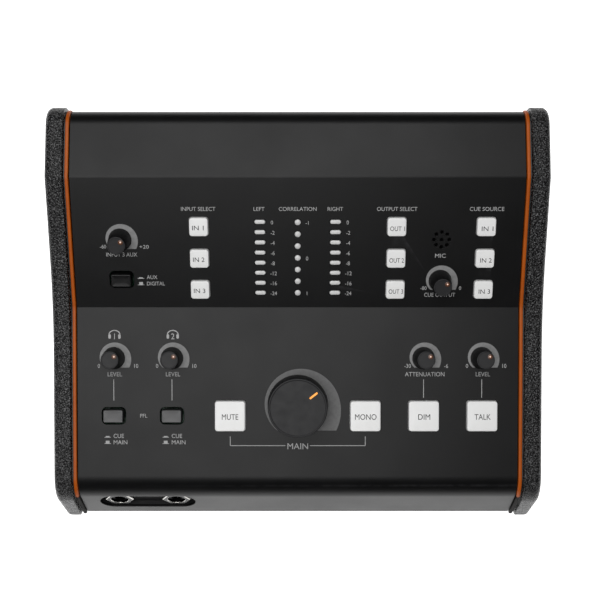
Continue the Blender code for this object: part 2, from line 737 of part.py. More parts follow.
def combo_sockets():
    """Square-flanged round sockets that take a three-pin plug or a jack plug."""
    for name, x in COMBOS.items():
        place = REAR @ Matrix.Translation((x, 0, 0))
        bm = bmesh.new()
        add_square(bm, 0, 0, 0.026, 0.031, (GAP, 0.0022), 0.002, 2)
        socket = as_object(name, bm, place, black_plastic)
        barrel = bmesh.new()
        add_rod(barrel, 0, 0, 0.0118, (-REAR_DEPTH, 0.0012), 24)
        combine(socket, helper(f"{name}_barrel", barrel, place), "UNION")
        mouth = bmesh.new()
        add_rod(mouth, 0, 0, 0.0098, (-0.0030, 0.004), 24)
        combine(socket, helper(f"{name}_mouth", mouth, place), "DIFFERENCE")
        bores = bmesh.new()
        add_rod(bores, 0, 0, JACK_BORE, (-REAR_DEPTH + 0.002, -0.002), 14)
        for pin in range(3):
            angle = math.radians(-90 + 120 * pin)
            add_rod(bores, 0.0066 * math.cos(angle), 0.0066 * math.sin(angle), 0.0015, (-0.014, -0.002), 8)
        combine(socket, helper(f"{name}_bores", bores, place), "DIFFERENCE")


def phono_places():
    """Centres of the four phono sockets on the rear panel."""
    half = PHONO_PITCH / 2
    return [(PHONO_X + across * half, up * half) for across in (-1, 1) for up in (-1, 1)]


def phono_block():
    """Four phono sockets on one moulded block: the third input's pair, and digital in and through."""
    bm = bmesh.new()
    add_square(bm, PHONO_X, 0, 0.027, 0.027, (-REAR_DEPTH, -SHEET - GAP))
    block = as_object("phono_sockets", bm, REAR, black_plastic)
    barrels = bmesh.new()
    bores = bmesh.new()
    for x, y in phono_places():
        add_rod(barrels, x, y, 0.0049, (-SHEET - 0.001, 0.0006), 14)
        add_rod(bores, x, y, 0.0016, (-0.010, 0.012), 8)
    combine(block, helper("phono_collars", barrels, REAR), "UNION")
    shells = bmesh.new()
    for x, y in phono_places():
        add_rod(shells, x, y, 0.0041, (0.0, PHONO_REACH), 14)
    combine(block, helper("phono_shells", shells, REAR), "UNION")
    combine(block, helper("phono_bores", bores, REAR), "DIFFERENCE")


def power_entry():
    """Low-voltage inlet with its centre pin, and the rocker switch in its housing."""
    place = REAR @ Matrix.Translation((INLET_X, 0, 0))
    bm = bmesh.new()
    add_square(bm, 0, 0, 0.009, 0.011, (-REAR_DEPTH, 0.0004))
    inlet = as_object("power_inlet", bm, place, black_plastic)
    bore = bmesh.new()
    add_rod(bore, 0, 0, 0.0031, (-0.0110, 0.004), 14)
    combine(inlet, helper("inlet_bore", bore, place), "DIFFERENCE")
    pin = bmesh.new()
    add_rod(pin, 0, 0, 0.0011, (-0.0120, -0.0010), 8)
    combine(inlet, helper("inlet_pin", pin, place), "UNION")

    place = REAR @ Matrix.Translation((ROCKER_X, 0, 0))
    bm = bmesh.new()
    add_square(bm, 0, 0, 0.0150, 0.0210, (GAP, 0.0016), 0.001, 1)
    housing = as_object("power_switch_housing", bm, place, black_plastic)
    body = bmesh.new()
    add_square(body, 0, 0, 0.0130, 0.0190, (-0.0200, 0.0008))
    combine(housing, helper("switch_body", body, place), "UNION")
    well = bmesh.new()
    add_square(well, 0, 0, 0.0100, 2 * (ROCKER_REACH + GAP), (-0.0065, 0.004))
    combine(housing, helper("switch_well", well, place), "DIFFERENCE")
    rocker_switch(place)



def rocker_switch(place):
    """The rocker: two round ends about its pivot and a shallow V across the top."""
    ends = [math.radians(angle) for angle in (-28, -14, 0, 14)]
    right = [Vector((ROCKER_REACH * math.cos(a), ROCKER_REACH * math.sin(a))) for a in ends]
    left = [Vector((-point.x, point.y)) for point in reversed(right)]
    line = [*right, Vector((0, 0.0008)), *left, Vector((0, -0.0042))]
    rocker = outline_plate(line, 0.0094)
    pivot = place @ Matrix.Rotation(ROCKER_TILT, 4, "X")
    as_object("power_rocker", rocker, pivot, black_plastic)


# ---------------------------------------------------------------- build

face_panel()
base_tray()
rear_panel()
side_pieces(-1, "left")
side_pieces(1, "right")
feet()
knobs()
buttons()
boards()
meters()
microphone()
headphone_jacks()
jack_pairs()
combo_sockets()
phono_block()
power_entry()
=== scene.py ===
"""Desktop monitor controller: its looks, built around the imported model.

Frame: metres, +Z up, the front edge towards -Y. Places on the two sloping panels are given in
the panel's own frame, in millimetres: x to the right, y up the slope from the valley line
between them, z out of the sheet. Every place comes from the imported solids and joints.
"""

import json
import math

import bmesh
import bpy
from mathutils import Matrix, Vector


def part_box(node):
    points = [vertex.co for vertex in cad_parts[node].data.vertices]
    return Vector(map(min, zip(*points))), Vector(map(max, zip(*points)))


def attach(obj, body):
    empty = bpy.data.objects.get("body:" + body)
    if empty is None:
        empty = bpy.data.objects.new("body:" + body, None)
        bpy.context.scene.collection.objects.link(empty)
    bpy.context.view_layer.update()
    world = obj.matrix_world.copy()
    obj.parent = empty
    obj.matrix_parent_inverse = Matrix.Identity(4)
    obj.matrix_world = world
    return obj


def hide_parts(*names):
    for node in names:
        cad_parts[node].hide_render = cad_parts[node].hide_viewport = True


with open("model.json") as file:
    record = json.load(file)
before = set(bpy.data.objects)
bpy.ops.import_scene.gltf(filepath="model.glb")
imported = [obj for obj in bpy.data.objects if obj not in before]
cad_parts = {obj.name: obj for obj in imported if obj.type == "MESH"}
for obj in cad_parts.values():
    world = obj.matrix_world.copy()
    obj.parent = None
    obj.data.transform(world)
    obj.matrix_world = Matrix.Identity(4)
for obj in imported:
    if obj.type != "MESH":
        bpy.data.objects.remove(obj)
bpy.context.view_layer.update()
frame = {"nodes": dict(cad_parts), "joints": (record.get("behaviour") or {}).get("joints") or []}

NODES = frame["nodes"]
JOINTS = {joint["name"]: joint for joint in frame["joints"]}
CASE = "case"
MM = 0.001

# ---------------------------------------------------------------- sizes that the frame doesn't give

SHEET = 1.5 * MM
FRONT_ANGLE = math.radians(65.4)
LIP_RADIUS = 15 * MM
SMALL_BUTTON, LARGE_BUTTON = 9.7, 16.0
BUTTON_CORNER = 1.45
BUTTON_GAP = 0.3
LATCH_CAP = (10.6, 6.8)
LATCH_WINDOW = (12.8, 9.2)
LAMP_SLOT = (6.0, 2.6)
PHASE_HOLE = 1.6
MIC_HOLE, MIC_RING, MIC_HOLES = 0.9, 4.0, 8
SHAFT_HOLE = 3.6
STADIUM = (52.0, 15.8)
STADIUM_Y = 15.7
JACK_BORE = 3.7
NUT_ACROSS = 7.8
REAR_FLANGE = 14 * MM
UNDERCUT, UNDERCUT_HEIGHT = 3.4 * MM, 17 * MM
REAR_RADIUS = 9 * MM
# how far up the front the trims carry painted shade
PAINTED_SHADE_REACH = 26 * MM
# width of the black strip that paints the shade in the groove by each cheek
SHADE_STRIP_WIDTH = 0.6 * MM
INK_LOW, INK_HIGH = 0.015, 0.04

# ---------------------------------------------------------------- places read from the frame


def side_point(vector):
    """A point of the frame as seen from the side: y across, z up."""
    return Vector((vector[1], vector[2]))


def tilt_of(joint):
    """Slope of the panel that a knob stands on, from the knob's axis."""
    axis = JOINTS[joint]["axis"]
    return math.atan2(-axis[1], axis[2])


def meet(point_a, way_a, point_b, way_b):
    """Where two lines in the plane cross."""
    cross = way_a.x * way_b.y - way_a.y * way_b.x
    gap = point_b - point_a
    return point_a + way_a * ((gap.x * way_b.y - gap.y * way_b.x) / cross)


def side_corners():
    """Corners of the folded face panel: front edge, lip, valley, crease and rear edge."""
    low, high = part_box("face_panel")
    front = Vector((low.y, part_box("base_tray")[0].z))
    rear = Vector((high.y, high.z))
    way = [Vector((math.cos(a), math.sin(a))) for a in (FRONT_ANGLE, LOWER_ANGLE, UPPER_ANGLE, 0.0)]
    on_lower = side_point(JOINTS["main_turn"]["pos_m"])
    on_upper = side_point(JOINTS["cue_output_turn"]["pos_m"])
    lip = meet(front, way[0], on_lower, way[1])
    valley = meet(on_lower, way[1], on_upper, way[2])
    crease = meet(on_upper, way[2], rear, way[3])
    return [front, lip, valley, crease, rear]


def panel_frame(corner, angle):
    """x to the right, y up the slope, z out of the sheet."""
    return Matrix.Translation((0, corner.x, corner.y)) @ Matrix.Rotation(angle, 4, "X")


def spot(panel, x, y=0.0, z=0.0):
    """A place in a panel's frame, given in millimetres."""
    return panel @ Matrix.Translation(Vector((x, y, z)) * MM)


def middle_of(node, panel):
    """Centre of a node's outermost end in a panel's frame, as x and y in millimetres."""
    inverse = panel.inverted()
    places = [inverse @ vert.co for vert in NODES[node].data.vertices]
    top = max(place.z for place in places)
    ends = [place for place in places if place.z > top - 0.001 * MM]
    x = (min(e.x for e in ends) + max(e.x for e in ends)) / 2
    y = (min(e.y for e in ends) + max(e.y for e in ends)) / 2
    return x / MM, y / MM


def turn_place(joint, panel):
    """Where a knob's axis meets its panel, as x and y in millimetres."""
    place = panel.inverted() @ Vector(JOINTS[joint]["pos_m"])
    return place.x / MM, place.y / MM


LOWER_ANGLE, UPPER_ANGLE = tilt_of("main_turn"), tilt_of("cue_output_turn")
CORNERS = side_corners()
FRONT_EDGE, LIP, VALLEY, CREASE, REAR_EDGE = CORNERS
LOWER = panel_frame(VALLEY, LOWER_ANGLE)
UPPER = panel_frame(VALLEY, UPPER_ANGLE)
FRONT = panel_frame(FRONT_EDGE, FRONT_ANGLE)
REAR_MIDDLE = (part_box("output_1_jacks")[0].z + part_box("output_1_jacks")[1].z) / 2
REAR = panel_frame(Vector((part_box("rear_panel")[1].y, REAR_MIDDLE)), -math.pi / 2)

# name: (panel, x, y); a knob's name is also the name of its body
KNOBS = {
    joint["child"]: (panel, *turn_place(joint["name"], panel))
    for joint in frame["joints"]
    if joint["name"].endswith("_turn")
    for panel in (LOWER if abs(tilt_of(joint["name"]) - LOWER_ANGLE) < 0.01 else UPPER,)
}


def button_places(names, panel):
    return {name: (panel, *middle_of(name, panel)) for name in names}


# node: the words on its cap
LARGE_LABELS = {f"{word.lower()}_button": word for word in ("MUTE", "MONO", "DIM", "TALK")}
SMALL_LABELS = {
    f"{group}_{number}_button": f"{word} {number}"
    for group, word in (("input", "IN"), ("output", "OUT"), ("cue_source", "IN"))
    for number in (1, 2, 3)
}
LARGE_PLACES = button_places(LARGE_LABELS, LOWER)
SMALL_PLACES = button_places(SMALL_LABELS, UPPER)
LATCH_PLACES = button_places(("headphone_1_source_button", "headphone_2_source_button"), LOWER)
LATCH_PLACES |= button_places(("aux_source_button",), UPPER)

METER_LAMPS, PHASE_LAMPS = 8, 7
METER_TOP, METER_PITCH = 46.5, 38.4 / 7
PHASE_TOP, PHASE_PITCH = 46.3, 38.2 / 6
MIC_X, MIC_Y = middle_of("talkback_microphone", UPPER)
HEADPHONE_X = [middle_of(f"headphone_jack_{number}", FRONT)[0] for number in (1, 2)]
RECESS_X = sum(HEADPHONE_X) / 2
METER_X = middle_of("right_meter_light_guide", UPPER)[0]

# ---------------------------------------------------------------- outline helpers


def offset_line(corners, distance):
    """The same run of straight lines, moved to its left by a distance."""
    ways = [(b - a).normalized() for a, b in zip(corners, corners[1:])]
    moved = [a + Vector((-way.y, way.x)) * distance for a, way in zip(corners, ways)]
    last = corners[-1] + Vector((-ways[-1].y, ways[-1].x)) * distance
    inner = [meet(moved[i - 1], ways[i - 1], moved[i], ways[i]) for i in range(1, len(ways))]
    return [moved[0], *inner, last]


def rounded(corners, radii, steps=12, closed=False):
    """Points along straight lines whose corners are rounded. A radius of 0 keeps its corner."""
    points = []
    count = len(corners)
    for i, corner in enumerate(corners):
        if radii[i] == 0 or (not closed and i in (0, count - 1)):
            points.append(corner.copy())
            continue
        before = (corners[i - 1] - corner).normalized()
        after = (corners[(i + 1) % count] - corner).normalized()
        half = before.angle(after) / 2
        centre = corner + (before + after).normalized() * (radii[i] / math.sin(half))
        start = corner + before * (radii[i] / math.tan(half)) - centre
        turn = math.pi - 2 * half
        if start.y * before.x - start.x * before.y < 0:
            turn = -turn
        for step in range(steps + 1):
            points.append(centre + Matrix.Rotation(turn * step / steps, 2) @ start)
    return points


def rounded_rectangle(width, length, corner, steps=6):
    """Points around a rectangle with rounded corners, in millimetres, anticlockwise."""
    corner = min(corner, width / 2 - 0.001, length / 2 - 0.001)
    points = []
    for number, (sx, sy) in enumerate(((1, 1), (-1, 1), (-1, -1), (1, -1))):
        for step in range(steps + 1):
            angle = math.pi / 2 * (number + step / steps)
            x = sx * (width / 2 - corner) + corner * math.cos(angle)
            y = sy * (length / 2 - corner) + corner * math.sin(angle)
            points.append((x, y))
    return points


def edge_round(radius, top, steps=5, inset=0.0):
    """Levels (height, inset) that round a block's top edge over."""
    angles = [math.pi / 2 * step / steps for step in range(steps + 1)]
    return [
        (top - radius + radius * math.sin(a), inset + radius - radius * math.cos(a)) for a in angles
    ]


# ---------------------------------------------------------------- mesh helpers


def loft(bm, loops):
    """Joins loops of equal length, anticlockwise and from low to high, into one closed skin."""
    rings = [[bm.verts.new(point) for point in loop] for loop in loops]
    for low, high in zip(rings, rings[1:]):
        for i in range(len(low)):
            j = (i + 1) % len(low)
            bm.faces.new((low[i], low[j], high[j], high[i]))
    bm.faces.new(reversed(rings[0]))
    bm.faces.new(rings[-1])


def soft_block(bm, x, y, width, length, corner, levels, steps=6):
    """A rounded rectangle carried through levels (height, inset), all in millimetres."""
    loops = []
    for height, inset in levels:
        radius = max(corner - max(inset, 0.0), 0.12)
        outline = rounded_rectangle(width - 2 * inset, length - 2 * inset, radius, steps)
        loops.append([Vector((x + px, y + py, height)) * MM for px, py in outline])
    loft(bm, loops)


def slab(bm, x, y, width, length, low, high):
    """A plain block about a centre, in millimetres."""
    soft_block(bm, x, y, width, length, 0.12, ((low, 0), (high, 0)), 1)


def lathe(bm, profile, sides=96, x=0.0, y=0.0, ring=False):
    """A turned body in millimetres. The profile (radius, height) starts and ends on the axis.

    A ring's profile never meets the axis: it runs up its bore, outwards, then down.
    """
    rings = []
    for radius, height in profile:
        if radius < 1e-6:
            rings.append([bm.verts.new(Vector((x, y, height)) * MM)])
            continue
        angles = [2 * math.pi * side / sides for side in range(sides)]
        points = [(x + radius * math.cos(a), y + radius * math.sin(a), height) for a in angles]
        rings.append([bm.verts.new(Vector(point) * MM) for point in points])
    for upper, lower in zip(rings, rings[1:] + rings[:1] if ring else rings[1:]):
        for i in range(sides):
            around = ((upper, i), (lower, i), (lower, i + 1), (upper, i + 1))
            corners = list(dict.fromkeys(line[at % len(line)] for line, at in around))
            if len(corners) > 2:
                bm.faces.new(corners)


def turned_profile(corners, radii, steps=5):
    """A profile with rounded corners, all in millimetres."""
    return [tuple(point) for point in rounded([Vector(c) for c in corners], radii, steps)]


def rod(bm, x, y, radius, low, high, sides=48, chamfer=0.0):
    """A cylinder in millimetres, with chamfered ends if asked."""
    profile = [(0, high), (radius - chamfer, high), (radius, high - chamfer)]
    profile += [(radius, low + chamfer), (radius - chamfer, low), (0, low)]
    if chamfer == 0:
        profile = [(0, high), (radius, high), (radius, low), (0, low)]
    lathe(bm, profile, sides, x, y)


def hexagon(bm, x, y, radius, low, high):
    """A six-sided block with chamfered ends and two corners on the x axis."""
    chamfer = 0.35
    ends = [(low, radius - chamfer), (low + chamfer, radius)]
    ends += [(high - chamfer, radius), (high, radius - chamfer)]
    loops = []
    for height, reach in ends:
        angles = [math.pi / 3 * side for side in range(6)]
        points = [(x + reach * math.cos(a), y + reach * math.sin(a), height) for a in angles]
        loops.append([Vector(point) * MM for point in points])
    loft(bm, loops)


def plate(line, low, high):
    """A closed outline in y and z, carried along x from low to high."""
    bm = bmesh.new()
    ends = [[bm.verts.new((x, point.x, point.y)) for point in line] for x in (low, high)]
    for i in range(len(line)):
        j = (i + 1) % len(line)
        bm.faces.new((ends[0][i], ends[0][j], ends[1][j], ends[1][i]))
    bm.faces.new(reversed(ends[0]))
    bm.faces.new(ends[1])
    bmesh.ops.recalc_face_normals(bm, faces=bm.faces[:])
    return bm


def new_object(name, bm, place=Matrix()):
    mesh = bpy.data.meshes.new(name)
    bm.normal_update()
    bm.to_mesh(mesh)
    bm.free()
    made = bpy.data.objects.new(name, mesh)
    made.matrix_world = place
    bpy.context.scene.collection.objects.link(made)
    return made


def solid(name, place, shape, *sizes, **options):
    """An object made by one of the shape helpers above."""
    bm = bmesh.new()
    shape(bm, *sizes, **options)
    return new_object(name, bm, place)


def settle(thing):
    """Turns an object's modifiers into its mesh."""
    bpy.context.view_layer.update()
    seen = thing.evaluated_get(bpy.context.evaluated_depsgraph_get())
    mesh = bpy.data.meshes.new_from_object(seen)
    thing.modifiers.clear()
    thing.data = mesh


def combine(thing, other, operation="DIFFERENCE"):
    """Cuts another object out of this one, or joins it on, and removes the other."""
    change = thing.modifiers.new(operation, "BOOLEAN")
    change.object = other
    change.operation = operation
    change.solver = "EXACT"
    settle(thing)
    bpy.data.objects.remove(other, do_unlink=True)


def soften(thing, width, segments=3, angle=30):
    """Rounds every sharp edge a little, so that it catches the light."""
    bevel = thing.modifiers.new("edges", "BEVEL")
    bevel.width = width * MM
    bevel.segments = segments
    bevel.limit_method = "ANGLE"
    bevel.angle_limit = math.radians(angle)
    bevel.use_clamp_overlap = True


def dress(thing, look, body, slot, *nodes):
    """Gives a piece its material, its body and the nodes that it stands for, which it hides. The
    slot is not used.
    """
    thing.data.materials.clear()
    thing.data.materials.append(look)
    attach(thing, body)
    if nodes:
        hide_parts(*nodes)


def piece(thing, look, body, slot, *nodes, sharp=35):
    """Shades a piece smooth, apart from edges sharper than an angle, and dresses it."""
    thing.data.shade_smooth()
    thing.data.set_sharp_from_angle(angle=math.radians(sharp))
    weighted = thing.modifiers.new("normals", "WEIGHTED_NORMAL")
    weighted.keep_sharp = True
    dress(thing, look, body, slot, *nodes)


# ---------------------------------------------------------------- material helpers


def scaled(colour, factor):
    return tuple(channel * factor for channel in colour)


class Look:
    """A material being built: its nodes, its shader and short ways to add to them."""

    def __init__(self, name, colour, roughness, specular=0.5, metallic=0.0):
        self.material = bpy.data.materials.new(name)
        self.material.use_nodes = True
        self.tree = self.material.node_tree
        self.shader = self.tree.nodes["Principled BSDF"]
        self.colour = colour
        self.roughness = roughness
        self.set("Base Color", (*colour, 1))
        self.set("Roughness", roughness)
        self.set("Metallic", metallic)
        self.set("Specular IOR Level", specular)
        self.place = self.tree.nodes.new("ShaderNodeTexCoord").outputs["Object"]
        self.height = None

    def set(self, name, value):
        self.shader.inputs[name].default_value = value

    def glow(self, colour, strength):
        self.set("Emission Color", (*colour, 1))
        self.set("Emission Strength", strength)

    def link(self, start, end):
        self.tree.links.new(start, end)

    def noise(self, scale, detail=3.0, stretch=None):
        place = self.place
        if stretch:
            mapping = self.tree.nodes.new("ShaderNodeMapping")
            mapping.inputs["Scale"].default_value = stretch
            self.link(self.place, mapping.inputs["Vector"])
            place = mapping.outputs["Vector"]
        noise = self.tree.nodes.new("ShaderNodeTexNoise")
        noise.inputs["Scale"].default_value = scale
        noise.inputs["Detail"].default_value = detail
        self.link(place, noise.inputs["Vector"])
        return noise.outputs["Fac"]

    def cells(self, scale, feature="F1"):
        cells = self.tree.nodes.new("ShaderNodeTexVoronoi")
        cells.inputs["Scale"].default_value = scale
        cells.feature = feature
        self.link(self.place, cells.inputs["Vector"])
        return cells.outputs["Distance"]

    def spread(self, value, low, high, from_low=0.0, from_high=1.0):
        ranged = self.tree.nodes.new("ShaderNodeMapRange")
        ranged.inputs["From Min"].default_value = from_low
        ranged.inputs["From Max"].default_value = from_high
        ranged.inputs["To Min"].default_value = low
        ranged.inputs["To Max"].default_value = high
        self.link(value, ranged.inputs["Value"])
        return ranged.outputs["Result"]

    def vary_roughness(self, value, by):
        spread = self.spread(value, self.roughness - by, self.roughness + by, 0.3, 0.7)
        self.link(spread, self.shader.inputs["Roughness"])

    def mix_in(self, factor, other):
        """Mixes another colour into the one that the shader has so far."""
        mix = self.tree.nodes.new("ShaderNodeMix")
        mix.data_type = "RGBA"
        base = self.shader.inputs["Base Color"]
        if base.links:
            self.link(base.links[0].from_socket, mix.inputs["A"])
        else:
            mix.inputs["A"].default_value = (*self.colour, 1)
        mix.inputs["B"].default_value = (*other, 1)
        self.link(factor, mix.inputs["Factor"])
        self.link(mix.outputs["Result"], base)

    def vary_colour(self, value, other, low=0.35, high=0.7):
        self.mix_in(self.spread(value, 0, 1, low, high), other)

    def along(self, way):
        """How far a point lies along a direction, in metres."""
        dot = self.tree.nodes.new("ShaderNodeVectorMath")
        dot.operation = "DOT_PRODUCT"
        dot.inputs[1].default_value = way
        self.link(self.place, dot.inputs[0])
        return dot.outputs["Value"]

    def bump(self, value, depth, strength=1.0):
        """Adds relief of a depth in millimetres on top of any relief added before."""
        bump = self.tree.nodes.new("ShaderNodeBump")
        bump.inputs["Strength"].default_value = strength
        bump.inputs["Distance"].default_value = depth * MM
        self.link(value, bump.inputs["Height"])
        if self.height:
            self.link(self.height, bump.inputs["Normal"])
        self.height = bump.outputs["Normal"]
        self.link(self.height, self.shader.inputs["Normal"])

    def uneven(self, tone=None, gloss=None, grain=None):
        """Uneven colour (scale, detail, other), gloss (scale, detail, by) and relief (scale,
        detail, depth, strength), each from a noise of its own."""
        if tone:
            self.vary_colour(self.noise(*tone[:2]), tone[2])
        if gloss:
            self.vary_roughness(self.noise(*gloss[:2]), gloss[2])
        if grain:
            self.bump(self.noise(*grain[:2]), *grain[2:])
        return self.material

    def worn_edges(self, colour, amount):
        """Lightens convex edges as a painted highlight, broken up by a noise."""
        edge = self.tree.nodes.new("ShaderNodeNewGeometry").outputs["Pointiness"]
        rub = self.spread(edge, 0, amount, 0.54, 0.62)
        broken = self.tree.nodes.new("ShaderNodeMath")
        broken.operation = "MULTIPLY"
        self.link(rub, broken.inputs[0])
        self.link(self.spread(self.noise(260, 4), 0.2, 1, 0.4, 0.62), broken.inputs[1])
        self.mix_in(broken.outputs["Value"], colour)


def powder_coat():
    """Fine matt powder coat: a shallow orange peel with a finer grit on it."""
    look = Look("dark_powder_coat_finish", (0.0032, 0.0032, 0.0034), 0.36, 0.21)
    look.uneven((60, 5, (0.0042, 0.0042, 0.0045)), (35, 4, 0.03), (900, 2, 0.012, 0.5))
    look.uneven(grain=(3500, 2, 0.004, 0.5))
    # painted highlight: the coat's convex edges and lip are lightened
    look.worn_edges((0.035, 0.035, 0.037), 0.5)
    return look.material


def orange_paint():
    """Orange paint, with painted shade below the lip: near-black and barely glossy where the strip
    turns under the front.
    """
    look = Look("orange_trim_finish", (0.47, 0.098, 0.007), 0.38, 0.18)
    look.uneven((80, 4, (0.41, 0.080, 0.006)), (120, 3, 0.05), (1400, 2, 0.008, 0.5))
    # painted highlight: the strip's convex edges are lightened
    look.worn_edges((0.60, 0.18, 0.04), 0.4)
    up_the_front = Vector((0, math.cos(FRONT_ANGLE), math.sin(FRONT_ANGLE)))
    end = up_the_front.dot(Vector((0, *FRONT_EDGE))) + PAINTED_SHADE_REACH
    height = look.along(up_the_front)
    seam = (end - 0.5 * MM, end + 0.5 * MM)
    # painted shade: near-black colour and little gloss below this band
    look.mix_in(look.spread(height, 1, 0, *seam), (0.005, 0.004, 0.003))
    look.link(look.spread(height, 0.02, 0.20, *seam), look.shader.inputs["Specular IOR Level"])
    return look.material


def leatherette():
    """Coarse pebbled grain: glossy rounded pebbles with dark creases between them."""
    look = Look("black_leatherette_finish", (0.0024, 0.0024, 0.0026), 0.26, 0.26)
    look.vary_colour(look.noise(180, 4), (0.006, 0.006, 0.0064))
    # painted highlight: bright specks in the colour stand in for glints on the grain
    look.vary_colour(look.noise(1500, 1), (0.130, 0.130, 0.132), 0.54, 0.66)
    look.vary_roughness(look.noise(500, 3), 0.08)
    look.bump(look.noise(1100, 3), 0.26)
    look.bump(look.cells(1700, "SMOOTH_F1"), 0.38)
    look.bump(look.noise(4200, 2), 0.02, 0.6)
    return look.material


def knob_plastic(name, colour, roughness, specular):
    look = Look(name, colour, roughness, specular)
    return look.uneven((150, 4, scaled(colour, 1.25)), (220, 4, 0.05), (2600, 2, 0.006, 0.5))


def white_cap():
    look = Look("button_white_finish", (0.86, 0.86, 0.855), 0.34)
    look.set("Subsurface Weight", 0.15)
    look.set("Subsurface Radius", (0.0012, 0.0012, 0.0012))
    # painted light: a faint white glow that brightens the caps
    look.glow((1, 1, 1), 0.07)
    return look.uneven((90, 4, (0.83, 0.83, 0.82)), (300, 3, 0.05), (2200, 2, 0.004, 0.4))


def lamp_diffuser():
    look = Look("lamp_diffuser_finish", (0.76, 0.76, 0.755), 0.30)
    return look.uneven((700, 3, (0.66, 0.66, 0.655)), (500, 2, 0.06), (1800, 2, 0.006, 0.5))


def moulded(name="black_plastic_finish", colour=(0.012, 0.012, 0.0125), roughness=0.42):
    look = Look(name, colour, roughness)
    return look.uneven((140, 4, scaled(colour, 1.4)), (260, 3, 0.06), (2400, 2, 0.010, 0.6))


def rubber():
    look = Look("foot_rubber_finish", (0.014, 0.014, 0.014), 0.78, 0.3)
    return look.uneven((120, 5, (0.026, 0.025, 0.024)), None, (900, 4, 0.03, 0.7))


def plated(name, colour, roughness):
    look = Look(name, colour, roughness, metallic=1.0)
    look.vary_roughness(look.noise(420, 4, (1, 1, 6)), 0.08)
    return look.uneven((200, 4, scaled(colour, 0.85)), None, (1600, 2, 0.004, 0.4))


def circuit_board():
    """Solder mask with copper tracks showing through it."""
    look = Look("board_green_finish", (0.012, 0.075, 0.035), 0.35)
    look.vary_colour(look.cells(260, "DISTANCE_TO_EDGE"), (0.03, 0.14, 0.07), 0.05, 0.02)
    look.bump(look.cells(260, "DISTANCE_TO_EDGE"), 0.02, 0.5)
    return look.uneven(gloss=(300, 3, 0.06))


def ink(name, colour):
    look = Look(name, colour, 0.55, 0.3)
    return look.uneven((500, 4, scaled(colour, 0.82)), None, (3000, 2, 0.004, 0.4))


def glowing(name, colour, strength):
    look = Look(name, colour, 0.35)
    look.glow(colour, strength)
    return look.uneven((400, 3, scaled(colour, 0.9)))


COAT = powder_coat()
ORANGE = orange_paint()
LEATHER = leatherette()
KNOB_SIDE = knob_plastic("knob_black_side", (0.0025, 0.0025, 0.0028), 0.50, 0.22)
# a lighter copy of the knob plastic for the upturned tops: painted light
KNOB_LIT_TOP = knob_plastic("knob_top_painted_light", (0.017, 0.017, 0.018), 0.50, 0.26)
WHITE = white_cap()
LAMP = lamp_diffuser()
BLACK = moulded()
LATCH_LOOK = moulded("latch_cap_finish", (0.036, 0.036, 0.037), 0.36)
# a darker copy of the latch plastic for the steeper upper panel: painted shade
SHADED_LATCH_LOOK = knob_plastic("latch_cap_painted_shade_finish", (0.004, 0.004, 0.0042), 0.34, 0.28)
RUBBER = rubber()
CLOTH = knob_plastic("dust_cloth_finish", (0.0010, 0.0010, 0.0010), 0.80, 0.04)
NICKEL = plated("nickel_finish", (0.62, 0.61, 0.58), 0.26)
GUNMETAL = plated("gunmetal_finish", (0.014, 0.014, 0.015), 0.32)
CAN_METAL = plated("capsule_metal_finish", (0.55, 0.55, 0.55), 0.35)
BOARD = circuit_board()
INK = ink("panel_ink", (0.48, 0.48, 0.48))
CRESCENT_INK = ink("crescent_ink", (0.27, 0.27, 0.27))
MAIN_CRESCENT_INK = ink("main_crescent_ink", (0.16, 0.16, 0.16))
LABEL_INK = ink("button_label_ink", (0.014, 0.014, 0.015))
AMBER = glowing("amber_pointer", (1.0, 0.36, 0.035), 0.55)
# small pointers: a pale glowing dot as painted highlight, ringed by a dim orange painted glow
POINTER_GLINT = glowing("pointer_painted_highlight", (0.85, 0.60, 0.48), 0.42)
POINTER_PAINTED_GLOW = glowing("pointer_painted_glow", (0.10, 0.036, 0.014), 0.14)
RED_PLASTIC = moulded("red_collar", (0.30, 0.012, 0.012), 0.38)
PALE_PLASTIC = moulded("white_collar", (0.55, 0.55, 0.53), 0.38)
ORANGE_PLASTIC = moulded("orange_collar", (0.60, 0.15, 0.02), 0.38)

# ---------------------------------------------------------------- shell

CUT_REACH = 4.0
RECESS_DEPTH = 2.5


def folded_sheet(name, corners, radii, span, steps=12):
    """A sheet folded along a side line, as one closed body with its thickness to the right."""
    outer = rounded(corners, radii, steps)
    inner_radii = [max(radius - SHEET, 0) for radius in radii]
    ways = [(b - a).normalized() for a, b in zip(corners, corners[1:])]
    turns = [a.x * b.y - a.y * b.x for a, b in zip(ways, ways[1:])]
    for i, turn in enumerate(turns, start=1):
        if turn > 0:
            inner_radii[i] = radii[i] + SHEET
    inner = rounded(offset_line(corners, -SHEET), inner_radii, steps)
    return new_object(name, plate([*outer, *reversed(inner)], *span))


def windows(bm, holes):
    """The cutters of every opening of a panel."""
    for kind, x, y, *size in holes:
        if kind == "round":
            rod(bm, x, y, *size, -CUT_REACH, CUT_REACH, 32)
        else:
            soft_block(bm, x, y, *size, ((-CUT_REACH, 0), (CUT_REACH, 0)), 6)


def panel_holes(panel):
    """The openings of one sloping panel as (kind, x, y, size...)."""
    holes = [("round", x, y, SHAFT_HOLE) for p, x, y in KNOBS.values() if p is panel]
    large, small = (side + 2 * BUTTON_GAP for side in (LARGE_BUTTON, SMALL_BUTTON))
    for places, size in (
        (LARGE_PLACES, (large, large, BUTTON_CORNER + 0.2)),
        (SMALL_PLACES, (small, small, BUTTON_CORNER + 0.2)),
        (LATCH_PLACES, (*LATCH_WINDOW, 2.6)),
    ):
        holes += [("square", x, y, *size) for p, x, y in places.values() if p is panel]
    return holes


def lamp_places():
    """Centre of each lamp as (x, y, kind)."""
    places = []
    for x in (-METER_X, METER_X):
        places += [(x, METER_TOP - n * METER_PITCH, "slot") for n in range(METER_LAMPS)]
    places += [(0.0, PHASE_TOP - n * PHASE_PITCH, "round") for n in range(PHASE_LAMPS)]
    return places


